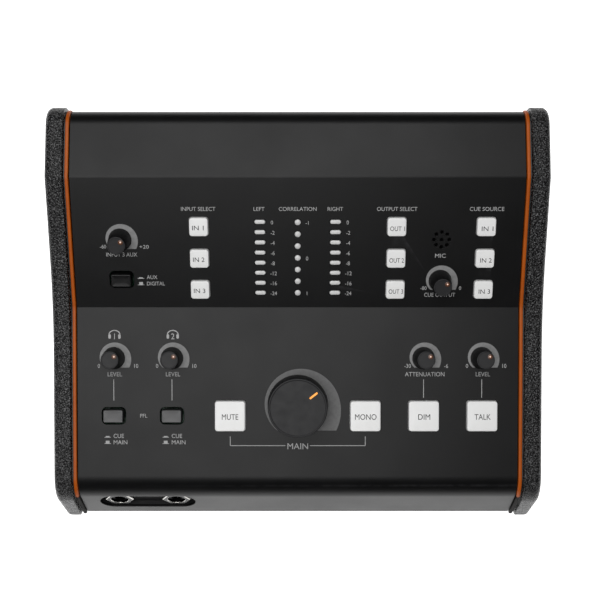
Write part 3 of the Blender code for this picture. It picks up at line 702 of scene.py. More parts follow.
def face_panel():
    low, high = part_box("face_panel")
    corners = [*CORNERS, Vector((REAR_EDGE.x, REAR_EDGE.y - REAR_FLANGE))]
    radii = (0, LIP_RADIUS, 1.2 * MM, 4 * MM, REAR_RADIUS, 0)
    sheet = folded_sheet("face_panel_sheet", corners, radii, (low.x, high.x), 14)
    holes = panel_holes(UPPER)
    sizes = {"slot": ("square", *LAMP_SLOT, 1.2), "round": ("round", PHASE_HOLE)}
    for x, y, lamp in lamp_places():
        kind, *size = sizes[lamp]
        holes.append((kind, x, y, *size))
    holes.append(("round", MIC_X, MIC_Y, MIC_HOLE))
    for hole in range(MIC_HOLES):
        angle = 2 * math.pi * hole / MIC_HOLES
        x, y = MIC_X + MIC_RING * math.cos(angle), MIC_Y + MIC_RING * math.sin(angle)
        holes.append(("round", x, y, MIC_HOLE))
    combine(sheet, solid("windows", UPPER, windows, holes))
    combine(sheet, solid("windows", LOWER, windows, panel_holes(LOWER)))
    levels = ((-RECESS_DEPTH, 0), (CUT_REACH, 0))
    size = (*STADIUM, STADIUM[1] / 2 - 0.01)
    combine(sheet, solid("recess", FRONT, soft_block, RECESS_X, STADIUM_Y, *size, levels, 16))
    soften(sheet, 0.14, 2, 40)
    piece(sheet, COAT, CASE, "dark_powder_coat", "face_panel", sharp=25)


def side_outline(proud, rear_proud, bottom, radii):
    """Closed side outline of a trim or a cheek, standing proud of the folded panel."""
    line = offset_line([*CORNERS, Vector((REAR_EDGE.x, 0.0))], proud * MM)
    line[-2].x = REAR_EDGE.x + rear_proud * MM
    line[0] = meet(line[0], line[1] - line[0], Vector((0, bottom)), Vector((1, 0)))
    line[-1] = Vector((line[-2].x, bottom))
    return rounded(line, [radius * MM for radius in radii], 16, closed=True)


def trims():
    """Orange strips, each beside a low black strip at the bottom of the real groove by its cheek:
    the black is painted shade.
    """
    radii = (1.5, 15.5, 10, 7, 9.5, 1.5)
    for word, side in (("left", -1), ("right", 1)):
        low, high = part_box(f"{word}_trim")
        inner, seam = (high.x, low.x) if side < 0 else (low.x, high.x)
        edge = seam - side * SHADE_STRIP_WIDTH
        span = sorted((edge + side * 0.02 * MM, seam))
        outline = side_outline(0.5, 0.3, low.z, radii)
        # painted shade: black strip at the bottom of the groove
        shade_strip = new_object(f"{word}_cheek_shade_strip", plate(outline, *span))
        piece(shade_strip, BLACK, CASE, "black_plastic")
        outline = side_outline(1.4, 0.5, low.z, radii)
        trim = new_object(f"{word}_orange_trim", plate(outline, *sorted((inner, edge))))
        soften(trim, 0.6, 5)
        piece(trim, ORANGE, CASE, "orange_trim", f"{word}_trim")


def cheeks():
    """Grained end cheeks: well rounded outside, with a tight edge where they meet the trim."""
    for word, side in (("left", -1), ("right", 1)):
        low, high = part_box(f"{word}_cheek")
        inner, outer = (high.x, low.x) if side < 0 else (low.x, high.x)
        bm = plate(side_outline(2.94, 1.9, low.z, (4.6, 18, 200, 7, 11, 3.8)), low.x, high.x)
        for x, radius, segments in ((outer, 3.5, 9), (inner, 0.5, 3)):
            rim = [e for e in bm.edges if all(abs(v.co.x - x) < 1e-6 for v in e.verts)]
            bmesh.ops.bevel(
                bm, geom=rim, offset=radius * MM, segments=segments, profile=0.5, affect="EDGES"
            )
        for vert in bm.verts:
            share = max(0.0, 1 - (vert.co.z - low.z) / UNDERCUT_HEIGHT) ** 2
            reach = min(1.0, abs(vert.co.x - inner) / (high.x - low.x))
            vert.co.x -= side * UNDERCUT * share * reach
        cheek = new_object(f"{word}_cheek_cover", bm)
        piece(cheek, LEATHER, CASE, "black_leatherette", f"{word}_cheek", sharp=60)


# ---------------------------------------------------------------- lettering and print

# height of a capital and usual width of the lettering, as shares of an em
CAPITAL, NATURAL_WIDTH = 0.68, 0.92
THIN_LINE = 0.35


def glyphs(text):
    """A line of lettering as a mesh one em high and one unit thick."""
    curve = bpy.data.curves.new("lettering", "FONT")
    curve.body = text
    curve.extrude = 0.5
    curve.resolution_u = 4
    drawn = bpy.data.objects.new("lettering", curve)
    bpy.context.scene.collection.objects.link(drawn)
    bpy.context.view_layer.update()
    seen = drawn.evaluated_get(bpy.context.evaluated_depsgraph_get())
    mesh = bpy.data.meshes.new_from_object(seen)
    bpy.data.objects.remove(drawn, do_unlink=True)
    bpy.data.curves.remove(curve)
    return mesh


def letter(bm, text, x, y, cap, width=None, low=INK_LOW, high=INK_HIGH):
    """Adds a centred line of text in millimetres, its capitals cap high, drawn out to a width."""
    mesh = glyphs(text)
    xs = [vert.co.x for vert in mesh.vertices]
    em = cap / CAPITAL
    across = width / (max(xs) - min(xs)) if width else em * NATURAL_WIDTH
    centre = (max(xs) + min(xs)) / 2
    own = bmesh.new()
    own.from_mesh(mesh)
    bpy.data.meshes.remove(mesh)
    bmesh.ops.remove_doubles(own, verts=own.verts[:], dist=1e-5)
    middle = (low + high) / 2
    place = Matrix.Translation(Vector((x, y - cap / 2, middle)) * MM)
    place @= Matrix.Diagonal((across * MM, em * MM, (high - low) * MM, 1))
    place @= Matrix.Translation((-centre, 0, 0))
    bmesh.ops.transform(own, matrix=place, verts=own.verts[:])
    held = bpy.data.meshes.new("letters")
    own.to_mesh(held)
    own.free()
    bm.from_mesh(held)
    bpy.data.meshes.remove(held)


def legend(bm, x, y, *rows):
    """Lines of text around a place, each as (text, across, up, cap height[, width])."""
    for text, across, up, *size in rows:
        letter(bm, text, x + across, y + up, *size)


def stroke(bm, x1, y1, x2, y2, width=THIN_LINE):
    """A printed line, upright or level."""
    across = abs(x2 - x1) + width
    along = abs(y2 - y1) + width
    slab(bm, (x1 + x2) / 2, (y1 + y2) / 2, across, along, INK_LOW, INK_HIGH)


def band(bm, inner, outer, low=INK_LOW, high=INK_HIGH):
    """A closed flat band between two lines of points, in millimetres."""
    sections = []
    for (ax, ay), (bx, by) in zip(inner, outer):
        corners = ((ax, ay, low), (bx, by, low), (bx, by, high), (ax, ay, high))
        sections.append([Vector(corner) * MM for corner in corners])
    rings = [[bm.verts.new(corner) for corner in section] for section in sections]
    for first, second in zip(rings, rings[1:]):
        for i in range(4):
            j = (i + 1) % 4
            bm.faces.new((first[i], first[j], second[j], second[i]))
    bm.faces.new(reversed(rings[0]))
    bm.faces.new(rings[-1])


def clock(x, y, radius, degrees):
    """A point at a clock angle, clockwise from 12, about a centre."""
    angle = math.radians(90 - degrees)
    return x + radius * math.cos(angle), y + radius * math.sin(angle)


def crescent(bm, x, y, inner, start, outer_at, floor):
    """The level marking around a knob: it swells clockwise, and both ends stop on a level line."""
    first = 180 + math.degrees(math.acos(floor / inner))
    last = 540 - math.degrees(math.acos(floor / inner))
    inside, outside = [], []
    for step in range(121):
        degrees = first + (last - first) * step / 120
        lowest = -floor / min(math.cos(math.radians(degrees)), -1e-6)
        outer = max(outer_at(degrees - start), inner + 0.05)
        if math.cos(math.radians(degrees)) < 0:
            outer = min(outer, lowest)
        inside.append(clock(x, y, inner, degrees))
        outside.append(clock(x, y, max(outer, inner + 0.02), degrees))
    band(bm, inside, outside)


def small_crescent(bm, x, y):
    crescent(bm, x, y, 6.05, 230, lambda t: 7.0 + 0.0106 * t, 4.95)


def main_crescent(bm, x, y):
    crescent(bm, x, y, 16.1, 219, lambda t: 17.6 - 0.0059 * t + 1.235e-4 * t * t, 13.7)


def headphone_mark(bm, x, y, number):
    """Headband, two ear cups and the output's number inside."""
    arc = [math.radians(180 * step / 24) for step in range(25)]
    band(
        bm,
        [(x + 2.6 * math.cos(a), y + 2.0 * math.sin(a)) for a in reversed(arc)],
        [(x + 3.15 * math.cos(a), y + 2.5 * math.sin(a)) for a in reversed(arc)],
    )
    for side in (-1, 1):
        soft_block(bm, x + side * 2.6, y - 1.0, 1.35, 2.4, 0.6, ((INK_LOW, 0), (INK_HIGH, 0)), 4)
    letter(bm, str(number), x, y - 0.95, 3.0)


def key_mark(bm, x, y, pressed):
    """A push key drawn from the side: standing out, or pressed in."""
    stroke(bm, x - 1.6, y - 0.7, x + 1.6, y - 0.7, 0.3)
    height = 0.5 if pressed else 1.4
    soft_block(bm, x, y - 0.55 + height / 2, 2.0, height, 0.12, ((INK_LOW, 0), (INK_HIGH, 0)), 1)


METER_SCALE = ("0", "-2", "-4", "-6", "-8", "-12", "-16", "-24")
HEADINGS_Y = 53.4
# knob: (low end, high end, name, how far below the knob its line ends)
LOWER_SCALES = {
    "headphone_1_knob": ("0", "10", "LEVEL", 22.4),
    "headphone_2_knob": ("0", "10", "LEVEL", 22.4),
    "attenuation_knob": ("-30", "-6", "ATTENUATION", 20.9),
    "talk_level_knob": ("0", "10", "LEVEL", 20.9),
}


def upper_print():
    bm = bmesh.new()
    input_x = SMALL_PLACES["input_1_button"][1]
    output_x = SMALL_PLACES["output_1_button"][1]
    cue_x = SMALL_PLACES["cue_source_1_button"][1]
    legend(
        bm,
        0.0,
        HEADINGS_Y,
        ("INPUT SELECT", input_x, 0, 2.05, 17.8),
        ("OUTPUT SELECT", output_x, 0, 2.05, 20.9),
        ("CUE SOURCE", cue_x, 0, 2.05, 17.9),
        ("LEFT", -METER_X - 0.3, 0, 2.0, 5.7),
        ("CORRELATION", 0, 0, 2.0, 19.6),
        ("RIGHT", METER_X - 0.2, 0, 2.0, 8.0),
    )
    for x in (-METER_X, METER_X):
        for lamp, text in enumerate(METER_SCALE):
            y = METER_TOP - lamp * METER_PITCH - 0.3
            letter(bm, text, x + 6.3 + 0.35 * (len(text) - 1), y, 2.0)
    for lamp, text in ((0, "-1"), (3, "0"), (6, "1")):
        letter(bm, text, 4.9, PHASE_TOP - lamp * PHASE_PITCH - 0.3, 2.0)
    legend(bm, MIC_X, MIC_Y, ("MIC", -0.3, -8.7, 2.1, 5.6))
    _, x, y = KNOBS["cue_output_knob"]
    ends = (("-80", -8.6, -4.0, 1.9), ("0", 10.7, -4.0, 1.9))
    legend(bm, x, y, *ends, ("CUE OUTPUT", 0.1, -7.7, 2.15, 16.4))
    _, x, y = KNOBS["aux_level_knob"]
    ends = (("-60", -9.0, -3.7, 1.9), ("+20", 12.5, -3.8, 1.9, 4.8))
    legend(bm, x, y, *ends, ("INPUT 3 AUX", 0.6, -8.0, 2.1, 16.2))
    _, x, y = LATCH_PLACES["aux_source_button"]
    for row, word, width in ((1.2, "AUX", 5.6), (-2.3, "DIGITAL", 9.4)):
        key_mark(bm, x + 10.1, y + row, row > 0)
        letter(bm, word, x + 13.2 + width / 2, y + row, 2.0, width)
    print_object("upper_panel_print", bm, UPPER, INK)
    curved = bmesh.new()
    for panel, x, y in KNOBS.values():
        if panel is UPPER:
            small_crescent(curved, x, y)
    print_object("upper_panel_crescents", curved, UPPER, CRESCENT_INK)


def lower_print():
    bm = bmesh.new()
    for number in (1, 2):
        _, x, y = KNOBS[f"headphone_{number}_knob"]
        headphone_mark(bm, x + 0.5, y + 12.6, number)
    for name, (low, high, word, reach) in LOWER_SCALES.items():
        _, x, y = KNOBS[name]
        letter(bm, low, x - 7.9 - 0.6 * (len(low) > 1), y - 4.1, 2.05)
        legend(bm, x, y, (high, 12.0, -4.1, 2.05), (word, 0.6, -8.5, 2.25))
        stroke(bm, x, y - 11.4, x, y - reach)
    for name in ("headphone_1_source_button", "headphone_2_source_button"):
        _, x, y = LATCH_PLACES[name]
        for row, word, width in ((-10.8, "CUE", 5.5), (-14.2, "MAIN", 7.3)):
            key_mark(bm, x - 3.4, y + row, word == "CUE")
            letter(bm, word, x - 0.2 + width / 2, y + row, 2.15, width)
    left = LATCH_PLACES["headphone_1_source_button"]
    right = LATCH_PLACES["headphone_2_source_button"]
    letter(bm, "PFL", (left[1] + right[1]) / 2 + 0.4, left[2], 2.0)
    _, x, y = LARGE_PLACES["mono_button"]
    for side in (-1, 1):
        stroke(bm, side * x, y - 11.2, side * x, y - 16.0)
        stroke(bm, side * 6.7, y - 16.0, side * x, y - 16.0)
    letter(bm, "MAIN", 0.0, y - 16.3, 3.1, 11.0)
    print_object("lower_panel_print", bm, LOWER, INK)
    curved = bmesh.new()
    for name in LOWER_SCALES:
        small_crescent(curved, *KNOBS[name][1:])
    print_object("lower_panel_crescents", curved, LOWER, CRESCENT_INK)
    curved = bmesh.new()
    main_crescent(curved, *KNOBS["main_knob"][1:])
    print_object("main_crescent", curved, LOWER, MAIN_CRESCENT_INK)


def print_object(name, bm, place, look, body=CASE, slot="button_white"):
    """Printed marks are thin closed solids that lie just above the surface."""
    made = new_object(name, bm, place)
    made.data.set_sharp_from_angle(angle=math.radians(30))
    dress(made, look, body, slot)


# ---------------------------------------------------------------- knobs

SMALL_TOP, MAIN_TOP = 13.0, 14.5
SMALL_DISH, MAIN_DISH = 0.15, 0.25
POINTER_AT = 52.0


def small_knob(bm):
    corners = (
        (0, SMALL_TOP - SMALL_DISH),
        (4.0, SMALL_TOP - SMALL_DISH),
        (4.15, SMALL_TOP),
        (4.7, SMALL_TOP),
        (5.7, 2.6),
        (5.95, 0.5),
        (3.3, 0.5),
        (3.3, 9.5),
        (0, 9.5),
    )
    lathe(bm, turned_profile(corners, (0, 0.1, 0.1, 0.35, 1.5, 0.15, 0.1, 0.1, 0), 5), 96)


def main_knob(bm):
    corners = (
        (0, MAIN_TOP - MAIN_DISH),
        (14.3, MAIN_TOP - MAIN_DISH),
        (14.7, MAIN_TOP),
        (15.5, MAIN_TOP),
        (15.97, 2.2),
        (15.97, 0.6),
        (14.5, 0.6),
        (14.0, 4.0),
        (5.2, 4.0),
        (5.0, 0.6),
        (3.3, 0.6),
        (3.3, 11.0),
        (0, 11.0),
    )
    radii = (0, 0.2, 0.15, 0.5, 1.0, 0.2, 0.2, 0.4, 0.4, 0.2, 0.1, 0.1, 0)
    lathe(bm, turned_profile(corners, radii, 6), 160)


def knobs():
    for name, (panel, x, y) in KNOBS.items():
        place = spot(panel, x, y)
        big = name == "main_knob"
        knob = solid(f"{name}_cap", place, main_knob if big else small_knob)
        piece(knob, KNOB_SIDE, name, "knob_black", name, sharp=50)
        # faces turned up get the lighter copy: painted light on the knob tops
        knob.data.materials.append(KNOB_LIT_TOP)
        floor = (MAIN_TOP if big else SMALL_TOP) - 0.3
        for face in knob.data.polygons:
            if face.normal.z > 0.6 and face.center.z > floor * MM:
                face.material_index = 1
        pointer(name, place, big)


def pointer(name, place, big):
    """The glowing mark on top of a knob, turned to where it stands at rest. On the small knobs it
    is a painted highlight with a painted glow around it.
    """
    top = MAIN_TOP - MAIN_DISH if big else SMALL_TOP - SMALL_DISH
    turned = place @ Matrix.Rotation(math.radians(-POINTER_AT), 4, "Z")
    if big:
        levels = ((top - 0.4, 0), *edge_round(0.15, top + 0.08, 3))
        mark = solid(f"{name}_pointer", turned, soft_block, 0, 10.5, 1.1, 5.2, 0.5, levels, 5)
        piece(mark, AMBER, name, "orange_trim", sharp=50)
        return
    core = ((0, 0.18), (0.22, 0.16), (0.42, 0.06), (0.42, -0.4), (0, -0.4))
    halo = ((0, 0.03), (1.2, 0.03), (1.3, -0.02), (1.3, -0.35), (0, -0.35))
    for word, profile, sides, look in (
        ("pointer", core, 32, POINTER_GLINT),
        ("pointer_painted_glow", halo, 40, POINTER_PAINTED_GLOW),
    ):
        profile = [(radius, top + height) for radius, height in profile]
        mark = solid(f"{name}_{word}", turned, lathe, profile, sides, 0, 2.9)
        piece(mark, look, name, "orange_trim", sharp=60)


# ---------------------------------------------------------------- buttons


def cap_levels(side, proud, edge, crown):
    """A push button from the foot of its stem to the crown of its cap."""
    stem = side / 2 - 1.2
    levels = [(-9.7, stem), (-4.6, stem), (-4.6, -0.8), (-3.4, -0.8), (-3.4, 0.0)]
    levels += edge_round(edge, proud, 6)
    levels += [(proud + crown * 0.6, edge + side * 0.12), (proud + crown, side * 0.38)]
    return levels


# how far each kind of button stands out of its panel
LARGE_PROUD, SMALL_PROUD, LATCH_PROUD = 2.7, 1.9, 3.2
# how far the words on each group of caps sit from the middle, and how wide they are
LABEL_SHIFT = {"input": (-0.25, -0.35), "output": (0.25, -0.75), "cue": (0.45, -0.75)}
LABEL_WIDTHS = {"MUTE": 8.7, "MONO": 11.4, "DIM": 6.4, "TALK": 8.6, "OUT": 7.6, "IN": 6.0}


def white_buttons():
    for places, side, proud, labels, cap in (
        (LARGE_PLACES, LARGE_BUTTON, LARGE_PROUD, LARGE_LABELS, 2.9),
        (SMALL_PLACES, SMALL_BUTTON, SMALL_PROUD, SMALL_LABELS, 2.35),
    ):
        for name, (panel, x, y) in places.items():
            place = spot(panel, x, y)
            size = (side, side, BUTTON_CORNER, cap_levels(side, proud, 0.55, 0.10), 7)
            button = solid(f"{name}_cap", place, soft_block, 0, 0, *size)
            piece(button, WHITE, name, "button_white", name, sharp=60)
            words = bmesh.new()
            text = labels[name]
            width = LABEL_WIDTHS[text.split()[0]]
            place_x, place_y = LABEL_SHIFT.get(name.split("_")[0], (0.1, -0.3))
            letter(words, text, place_x, place_y, cap, width, proud - 0.05, proud + 0.115)
            print_object(f"{name}_label", words, place, LABEL_INK, name)


def latch_buttons():
    for name, (panel, x, y) in LATCH_PLACES.items():
        place = spot(panel, x, y)
        stem = min(LATCH_CAP) / 2 - 1.2
        levels = [(-9.3, stem), (-3.6, stem), (-3.6, 0.0), *edge_round(0.5, LATCH_PROUD, 6)]
        levels += [(LATCH_PROUD - 0.08, 1.1), (LATCH_PROUD - 0.15, 2.4)]
        button = solid(f"{name}_cap", place, soft_block, 0, 0, *LATCH_CAP, 0.9, levels, 6)
        # painted shade: the latch on the upper panel gets the darker copy
        look = SHADED_LATCH_LOOK if panel is UPPER else LATCH_LOOK
        piece(button, look, name, "black_plastic", name, sharp=60)


# ---------------------------------------------------------------- lamps and microphone


def lenses(bm, middle):
    """One light guide: a bar under the panel and a lens in each of its windows."""
    bottom = METER_TOP - (METER_LAMPS - 1) * METER_PITCH
    size = (7.2, METER_TOP - bottom + 6, 0.6)
    soft_block(bm, middle, (METER_TOP + bottom) / 2, *size, ((-6.0, 0), (-3.2, 0)), 4)
    for x, y, kind in lamp_places():
        if abs(x - middle) > 0.1:
            continue
        if kind == "slot":
            width, height = LAMP_SLOT[0] - 0.5, LAMP_SLOT[1] - 0.5
            levels = ((-3.4, 0), *edge_round(0.25, 0.12, 4), (0.24, 0.7))
            soft_block(bm, x, y, width, height, 1.0, levels, 6)
        else:
            rim = PHASE_HOLE - 0.25
            profile = [(0, 0.5), (0.7, 0.44), (1.2, 0.28), (1.5, 0.05)]
            lathe(bm, [*profile, (rim, -0.3), (rim, -3.4), (0, -3.4)], 32, x, y)


def light_guides():
    for name, x in (("left_meter", -METER_X), ("correlation_meter", 0.0), ("right_meter", METER_X)):
        guide = solid(f"{name}_lenses", UPPER, lenses, x)
        piece(guide, LAMP, CASE, "lamp_diffuser", f"{name}_light_guide", sharp=50)


def microphone_cloth():
    """Fine black cloth under the ring of holes."""
    profile = [(0, -1.62), (5.6, -1.62), (5.75, -1.7), (5.75, -1.95), (0, -1.95)]
    cloth = solid("microphone_dust_cloth", UPPER, lathe, profile, 64, MIC_X, MIC_Y)
    piece(cloth, CLOTH, CASE, "black_plastic")


# ---------------------------------------------------------------- headphone sockets


def threaded(low, high, outer, bore, pitch=0.75):
    """Profile of a threaded bush with a chamfered mouth, as a ring."""
    profile = [(bore, low), (bore, high - 0.5), (bore + 0.5, high), (outer - 0.4, high)]
    height = high - 0.35
    while height - pitch > low:
        profile += [(outer, height), (outer, height - pitch * 0.3)]
        profile.append((outer - 0.35, height - pitch * 0.65))
        height -= pitch
    return [*profile, (outer - 0.35, low)]


def bushing(name, place, low, high, outer, bore, look):
    bm = bmesh.new()
    lathe(bm, threaded(low, high, outer, bore), 64, ring=True)
    made = new_object(name, bm, place)
    piece(made, look, CASE, "nickel")


def nut(name, place, hole, low, high, look, highlight_look=None):
    """A hexagon nut with a round hole, its edges rounded and, if asked, given a bright finish as
    painted highlight.
    """
    bm = bmesh.new()
    hexagon(bm, 0, 0, NUT_ACROSS, low, high)
    made = new_object(name, bm, place)
    combine(made, solid("hole", place, rod, 0, 0, hole, low - 1, high + 1, 64))
    soften(made, 0.22)
    piece(made, look, CASE, "nickel")
    if highlight_look:
        made.data.materials.append(highlight_look)
        made.modifiers["edges"].material = 1


def headphone_jacks():
    seat = -3.6
    for number in (1, 2):
        node = f"headphone_jack_{number}"
        x = HEADPHONE_X[number - 1]
        place = spot(FRONT, x, STADIUM_Y)
        bushing(f"{node}_bush", place, seat - 1.6, seat + 1.2, 4.7, JACK_BORE - 0.4, GUNMETAL)
        # painted highlight: nickel on the rounded edges of the dark nuts
        nut(f"{node}_nut", place, 4.8, seat + 0.3, seat + 2.5, GUNMETAL, NICKEL)
        levels = ((-18.5, 0), *edge_round(0.4, seat - 1.8, 3))
        housing = solid(f"{node}_housing", place, soft_block, 0, 0, 14, 10.8, 0.5, levels, 4)
        combine(housing, solid("hole", place, rod, 0, 0, JACK_BORE, seat - 13, seat + 4, 48))
        piece(housing, BLACK, CASE, "black_plastic", node)


def recess_bezel():
    """Black surround that closes the gap between the face panel and the flange behind it."""
    width, height = STADIUM
    place = spot(FRONT, RECESS_X, STADIUM_Y)
    bm = bmesh.new()
    levels = ((-3.55, 0), (-1.75, 0), (-1.55, 0.2))
    soft_block(bm, 0, 0, width + 2.4, height + 2.4, height / 2 + 1.2, levels, 16)
    bezel = new_object("headphone_recess_bezel", bm, place)
    size = (width + 0.2, height + 0.2, height / 2)
    combine(bezel, solid("hole", place, soft_block, 0, 0, *size, ((-5, 0), (1, 0)), 16))
    piece(bezel, BLACK, CASE, "black_plastic")


# ---------------------------------------------------------------- rear (y points down, z outwards)

PAIRS = {f"output_{number}_jacks": f"OUTPUT {number}" for number in (1, 2, 3)}
PAIRS["input_2_jacks"] = "INPUT 2"
COMBOS = {"input_1_left_socket": "INPUT 1 LEFT", "input_1_right_socket": "INPUT 1 RIGHT"}
PAIR_PITCH, PHONO_PITCH = 19.0, 14.0
REAR_DEPTH = 28.1
REAR_BORE_END = -26.1
BLOCK_LEVELS = ((-REAR_DEPTH, 0), (-2.2, 0), (-1.8, 0.4))
RING_PROFILE = ((3.75, -2.95), (3.75, -1.9), (4.0, -1.7), (4.6, -1.7), (4.8, -1.9), (4.8, -2.95))
MOUTH_PROFILE = ((0, 4), (10.6, 4), (10.6, 1.9), (9.8, 1.4), (9.8, -3), (0, -3))
COLLAR_PROFILE = ((1.6, -1.75), (1.6, 4.9), (1.9, 5.2), (3.35, 5.2), (3.35, 0.55), (4.9, 0.55))
COLLAR_PROFILE += ((4.9, -1.75),)
SHELL_PROFILE = ((3.4, 0.6), (3.4, 5.8), (3.6, 6.0), (3.95, 6.0), (4.1, 5.8), (4.1, 0.6))
FLANGE_FACE = 1.8
FLANGE_SCREWS = (-108, -36, 36, 108)
FLANGE_SCREW_RISE = 4.4
ROCKER_TILT, ROCKER_SLOPE = math.radians(8.0), math.radians(7.9)


def middle_x(node):
    low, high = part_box(node)
    return (low.x + high.x) / 2 / MM


def softened_copy(name, node, look, slot, width, body=CASE):
    """A node's own solid with every sharp edge rounded."""
    bm = bmesh.new()
    bm.from_mesh(NODES[node].data)
    bmesh.ops.remove_doubles(bm, verts=bm.verts[:], dist=1e-6)
    bmesh.ops.dissolve_limit(bm, angle_limit=0.002, verts=bm.verts[:], edges=bm.edges[:])
    made = new_object(name, bm)
    soften(made, width, 3, 40)
    piece(made, look, body, slot, node)


def screw(name, place, radius=2.5, height=1.2, look=GUNMETAL):
    """A pan-head screw with a cross recess."""
    bm = bmesh.new()
    profile = [(0, 1), (0.45, 0.96), (0.8, 0.76), (0.97, 0.42), (1, 0.1), (0.96, 0), (0, 0)]
    lathe(bm, [(r * radius, h * height) for r, h in profile], 40)
    head = new_object(name, bm, place)
    for turn in (0, math.pi / 2):
        arm = bmesh.new()
        slab(arm, 0, 0, radius * 1.05, radius * 0.26, height * 0.4, height + 1)
        turned = place @ Matrix.Rotation(turn + 0.5, 4, "Z")
        combine(head, new_object("arm", arm, turned))
    piece(head, look, CASE, "nickel")


def jack_pairs():
    for node in PAIRS:
        x = middle_x(node)
        size = (14, 34, 0.8, BLOCK_LEVELS, 4)
        housing = solid(f"{node}_housing", spot(REAR, x), soft_block, 0, 0, *size)
        holes = bmesh.new()
        for side in (-1, 1):
            rod(holes, 0, side * PAIR_PITCH / 2, JACK_BORE, REAR_BORE_END, 4, 48)
        combine(housing, new_object("holes", holes, spot(REAR, x)))
        piece(housing, BLACK, CASE, "black_plastic", node)
        for word, side in (("upper", -1), ("lower", 1)):
            place = spot(REAR, x, side * PAIR_PITCH / 2)
            bushing(f"{node}_{word}_bush", place, -1.7, 1.6, 5.4, JACK_BORE - 0.3, NICKEL)
            nut(f"{node}_{word}_nut", place, 5.5, 0.3, 2.1, NICKEL)


def combo_sockets():
    """Square flange, stepped mouth, jack bore, three pin holes, release tab and two screws."""
    for node in COMBOS:
        place = spot(REAR, middle_x(node))
        levels = ((0.3, 0), *edge_round(0.6, 2.2, 5))
        socket = solid(f"{node}_shell", place, soft_block, 0, 0, 26, 31, 2.2, levels, 6)
        combine(socket, solid("barrel", place, rod, 0, 0, 11.8, -REAR_DEPTH, 1.0, 96), "UNION")
        combine(socket, solid("mouth", place, lathe, MOUTH_PROFILE, 96))
        bores = bmesh.new()
        rod(bores, 0, 0, JACK_BORE, REAR_BORE_END, -2, 48)
        for pin in range(3):
            angle = math.radians(-90 + 120 * pin)
            rod(bores, 6.6 * math.cos(angle), 6.6 * math.sin(angle), 1.5, -14, -2, 24)
        combine(socket, new_object("bores", bores, place))
        piece(socket, BLACK, CASE, "black_plastic", node)
        guide = solid(f"{node}_guide_ring", place, lathe, RING_PROFILE, 64, ring=True)
        piece(guide, NICKEL, CASE, "nickel")
        size = (6.4, 2.6, 0.5, ((2.1, 0), *edge_round(0.4, 3.0, 4)), 4)
        release = solid(f"{node}_release_tab", place, soft_block, 0, -13.0, *size)
        piece(release, LATCH_LOOK, CASE, "black_plastic")
        for side in (-1, 1):
            seat = spot(place, 10.2 * side, -12.6 * side, 2.15)
            screw(f"{node}_screw_{'a' if side < 0 else 'b'}", seat, 1.7, 0.9)


def phono_sockets():
    """Four phono sockets: coloured collar, plated shell and insulated centre, on one block."""
    x = middle_x("phono_sockets")
    block = solid("phono_block", spot(REAR, x), soft_block, 0, 0, 27, 27, 0.8, BLOCK_LEVELS, 4)
    piece(block, BLACK, CASE, "black_plastic", "phono_sockets")
    looks = {(-1, -1): PALE_PLASTIC, (-1, 1): RED_PLASTIC, (1, -1): ORANGE_PLASTIC, (1, 1): BLACK}
    for number, ((across, up), look) in enumerate(looks.items(), start=1):
        place = spot(REAR, x + across * PHONO_PITCH / 2, up * PHONO_PITCH / 2)
        collar = solid(f"phono_{number}_insulator", place, lathe, COLLAR_PROFILE, 48, ring=True)
        soften(collar, 0.15)
        piece(collar, look, CASE, "black_plastic")
        shell = solid(f"phono_{number}_shell", place, lathe, SHELL_PROFILE, 64, ring=True)
        piece(shell, NICKEL, CASE, "nickel")


def power_entry():
    softened_copy("power_inlet_body", "power_inlet", BLACK, "black_plastic", 0.2)
    softened_copy("power_switch_frame", "power_switch_housing", BLACK, "black_plastic", 0.25)
    softened_copy("power_rocker_cap", "power_rocker", BLACK, "black_plastic", 0.3, "power_rocker")
    pivot = spot(REAR, middle_x("power_rocker")) @ Matrix.Rotation(ROCKER_TILT, 4, "X")
    for word, side in (("on", -1), ("off", 1)):
        place = spot(pivot, 0, side * 3.7, 1.31) @ Matrix.Rotation(side * ROCKER_SLOPE, 4, "X")
        bm = bmesh.new()
        if side < 0:
            slab(bm, 0, 0, 0.5, 2.6, 0.0, 0.04)
        else:
            lathe(bm, [(0.9, 0), (0.9, 0.04), (1.35, 0.04), (1.35, 0)], 40, ring=True)
        print_object(f"power_rocker_{word}_mark", bm, place, INK, "power_rocker")


def rear_print():
    """Words over the sockets, read from behind: x runs to the left and y up."""
    bm = bmesh.new()
    for node, word in {**PAIRS, **COMBOS}.items():
        letter(bm, word, -middle_x(node), 19.2, 1.9, 12.6 if node in PAIRS else 17.5)
    for node in PAIRS:
        for word, side in (("L", 1), ("R", -1)):
            letter(bm, word, -middle_x(node) + 9.9, side * PAIR_PITCH / 2, 2.0)
    x = -middle_x("phono_sockets")
    letter(bm, "INPUT 3", x + PHONO_PITCH / 2, 15.4, 1.9, 10.4)
    letter(bm, "DIGITAL", x - PHONO_PITCH / 2, 15.4, 1.9, 9.6)
    letter(bm, "IN", x - PHONO_PITCH / 2 - 7.2, 7.0, 1.8)
    letter(bm, "OUT", x - PHONO_PITCH / 2 - 7.4, -7.0, 1.8, 3.2)
    letter(bm, "DC", -middle_x("power_inlet"), 10.0, 1.9)
    letter(bm, "POWER", -middle_x("power_rocker"), 14.6, 1.9, 9.0)
    print_object("rear_panel_print", bm, REAR @ Matrix.Rotation(math.pi, 4, "Z"), INK)


def rear():
    softened_copy("rear_plate", "rear_panel", COAT, "dark_powder_coat", 0.15)
    jack_pairs()
    combo_sockets()
    phono_sockets()
    power_entry()
    rear_print()
    foot_line = (REAR_MIDDLE - FRONT_EDGE.y) / MM - FLANGE_SCREW_RISE
    for number, x in enumerate(FLANGE_SCREWS, start=1):
        screw(f"rear_screw_{number}", spot(REAR, x, foot_line, FLANGE_FACE))


# ---------------------------------------------------------------- base


FOOT_SCREW_HEIGHT = 2.48
BASE_SCREWS = ((-60, -60), (60, -60), (0, 0), (-60, 60), (60, 60))


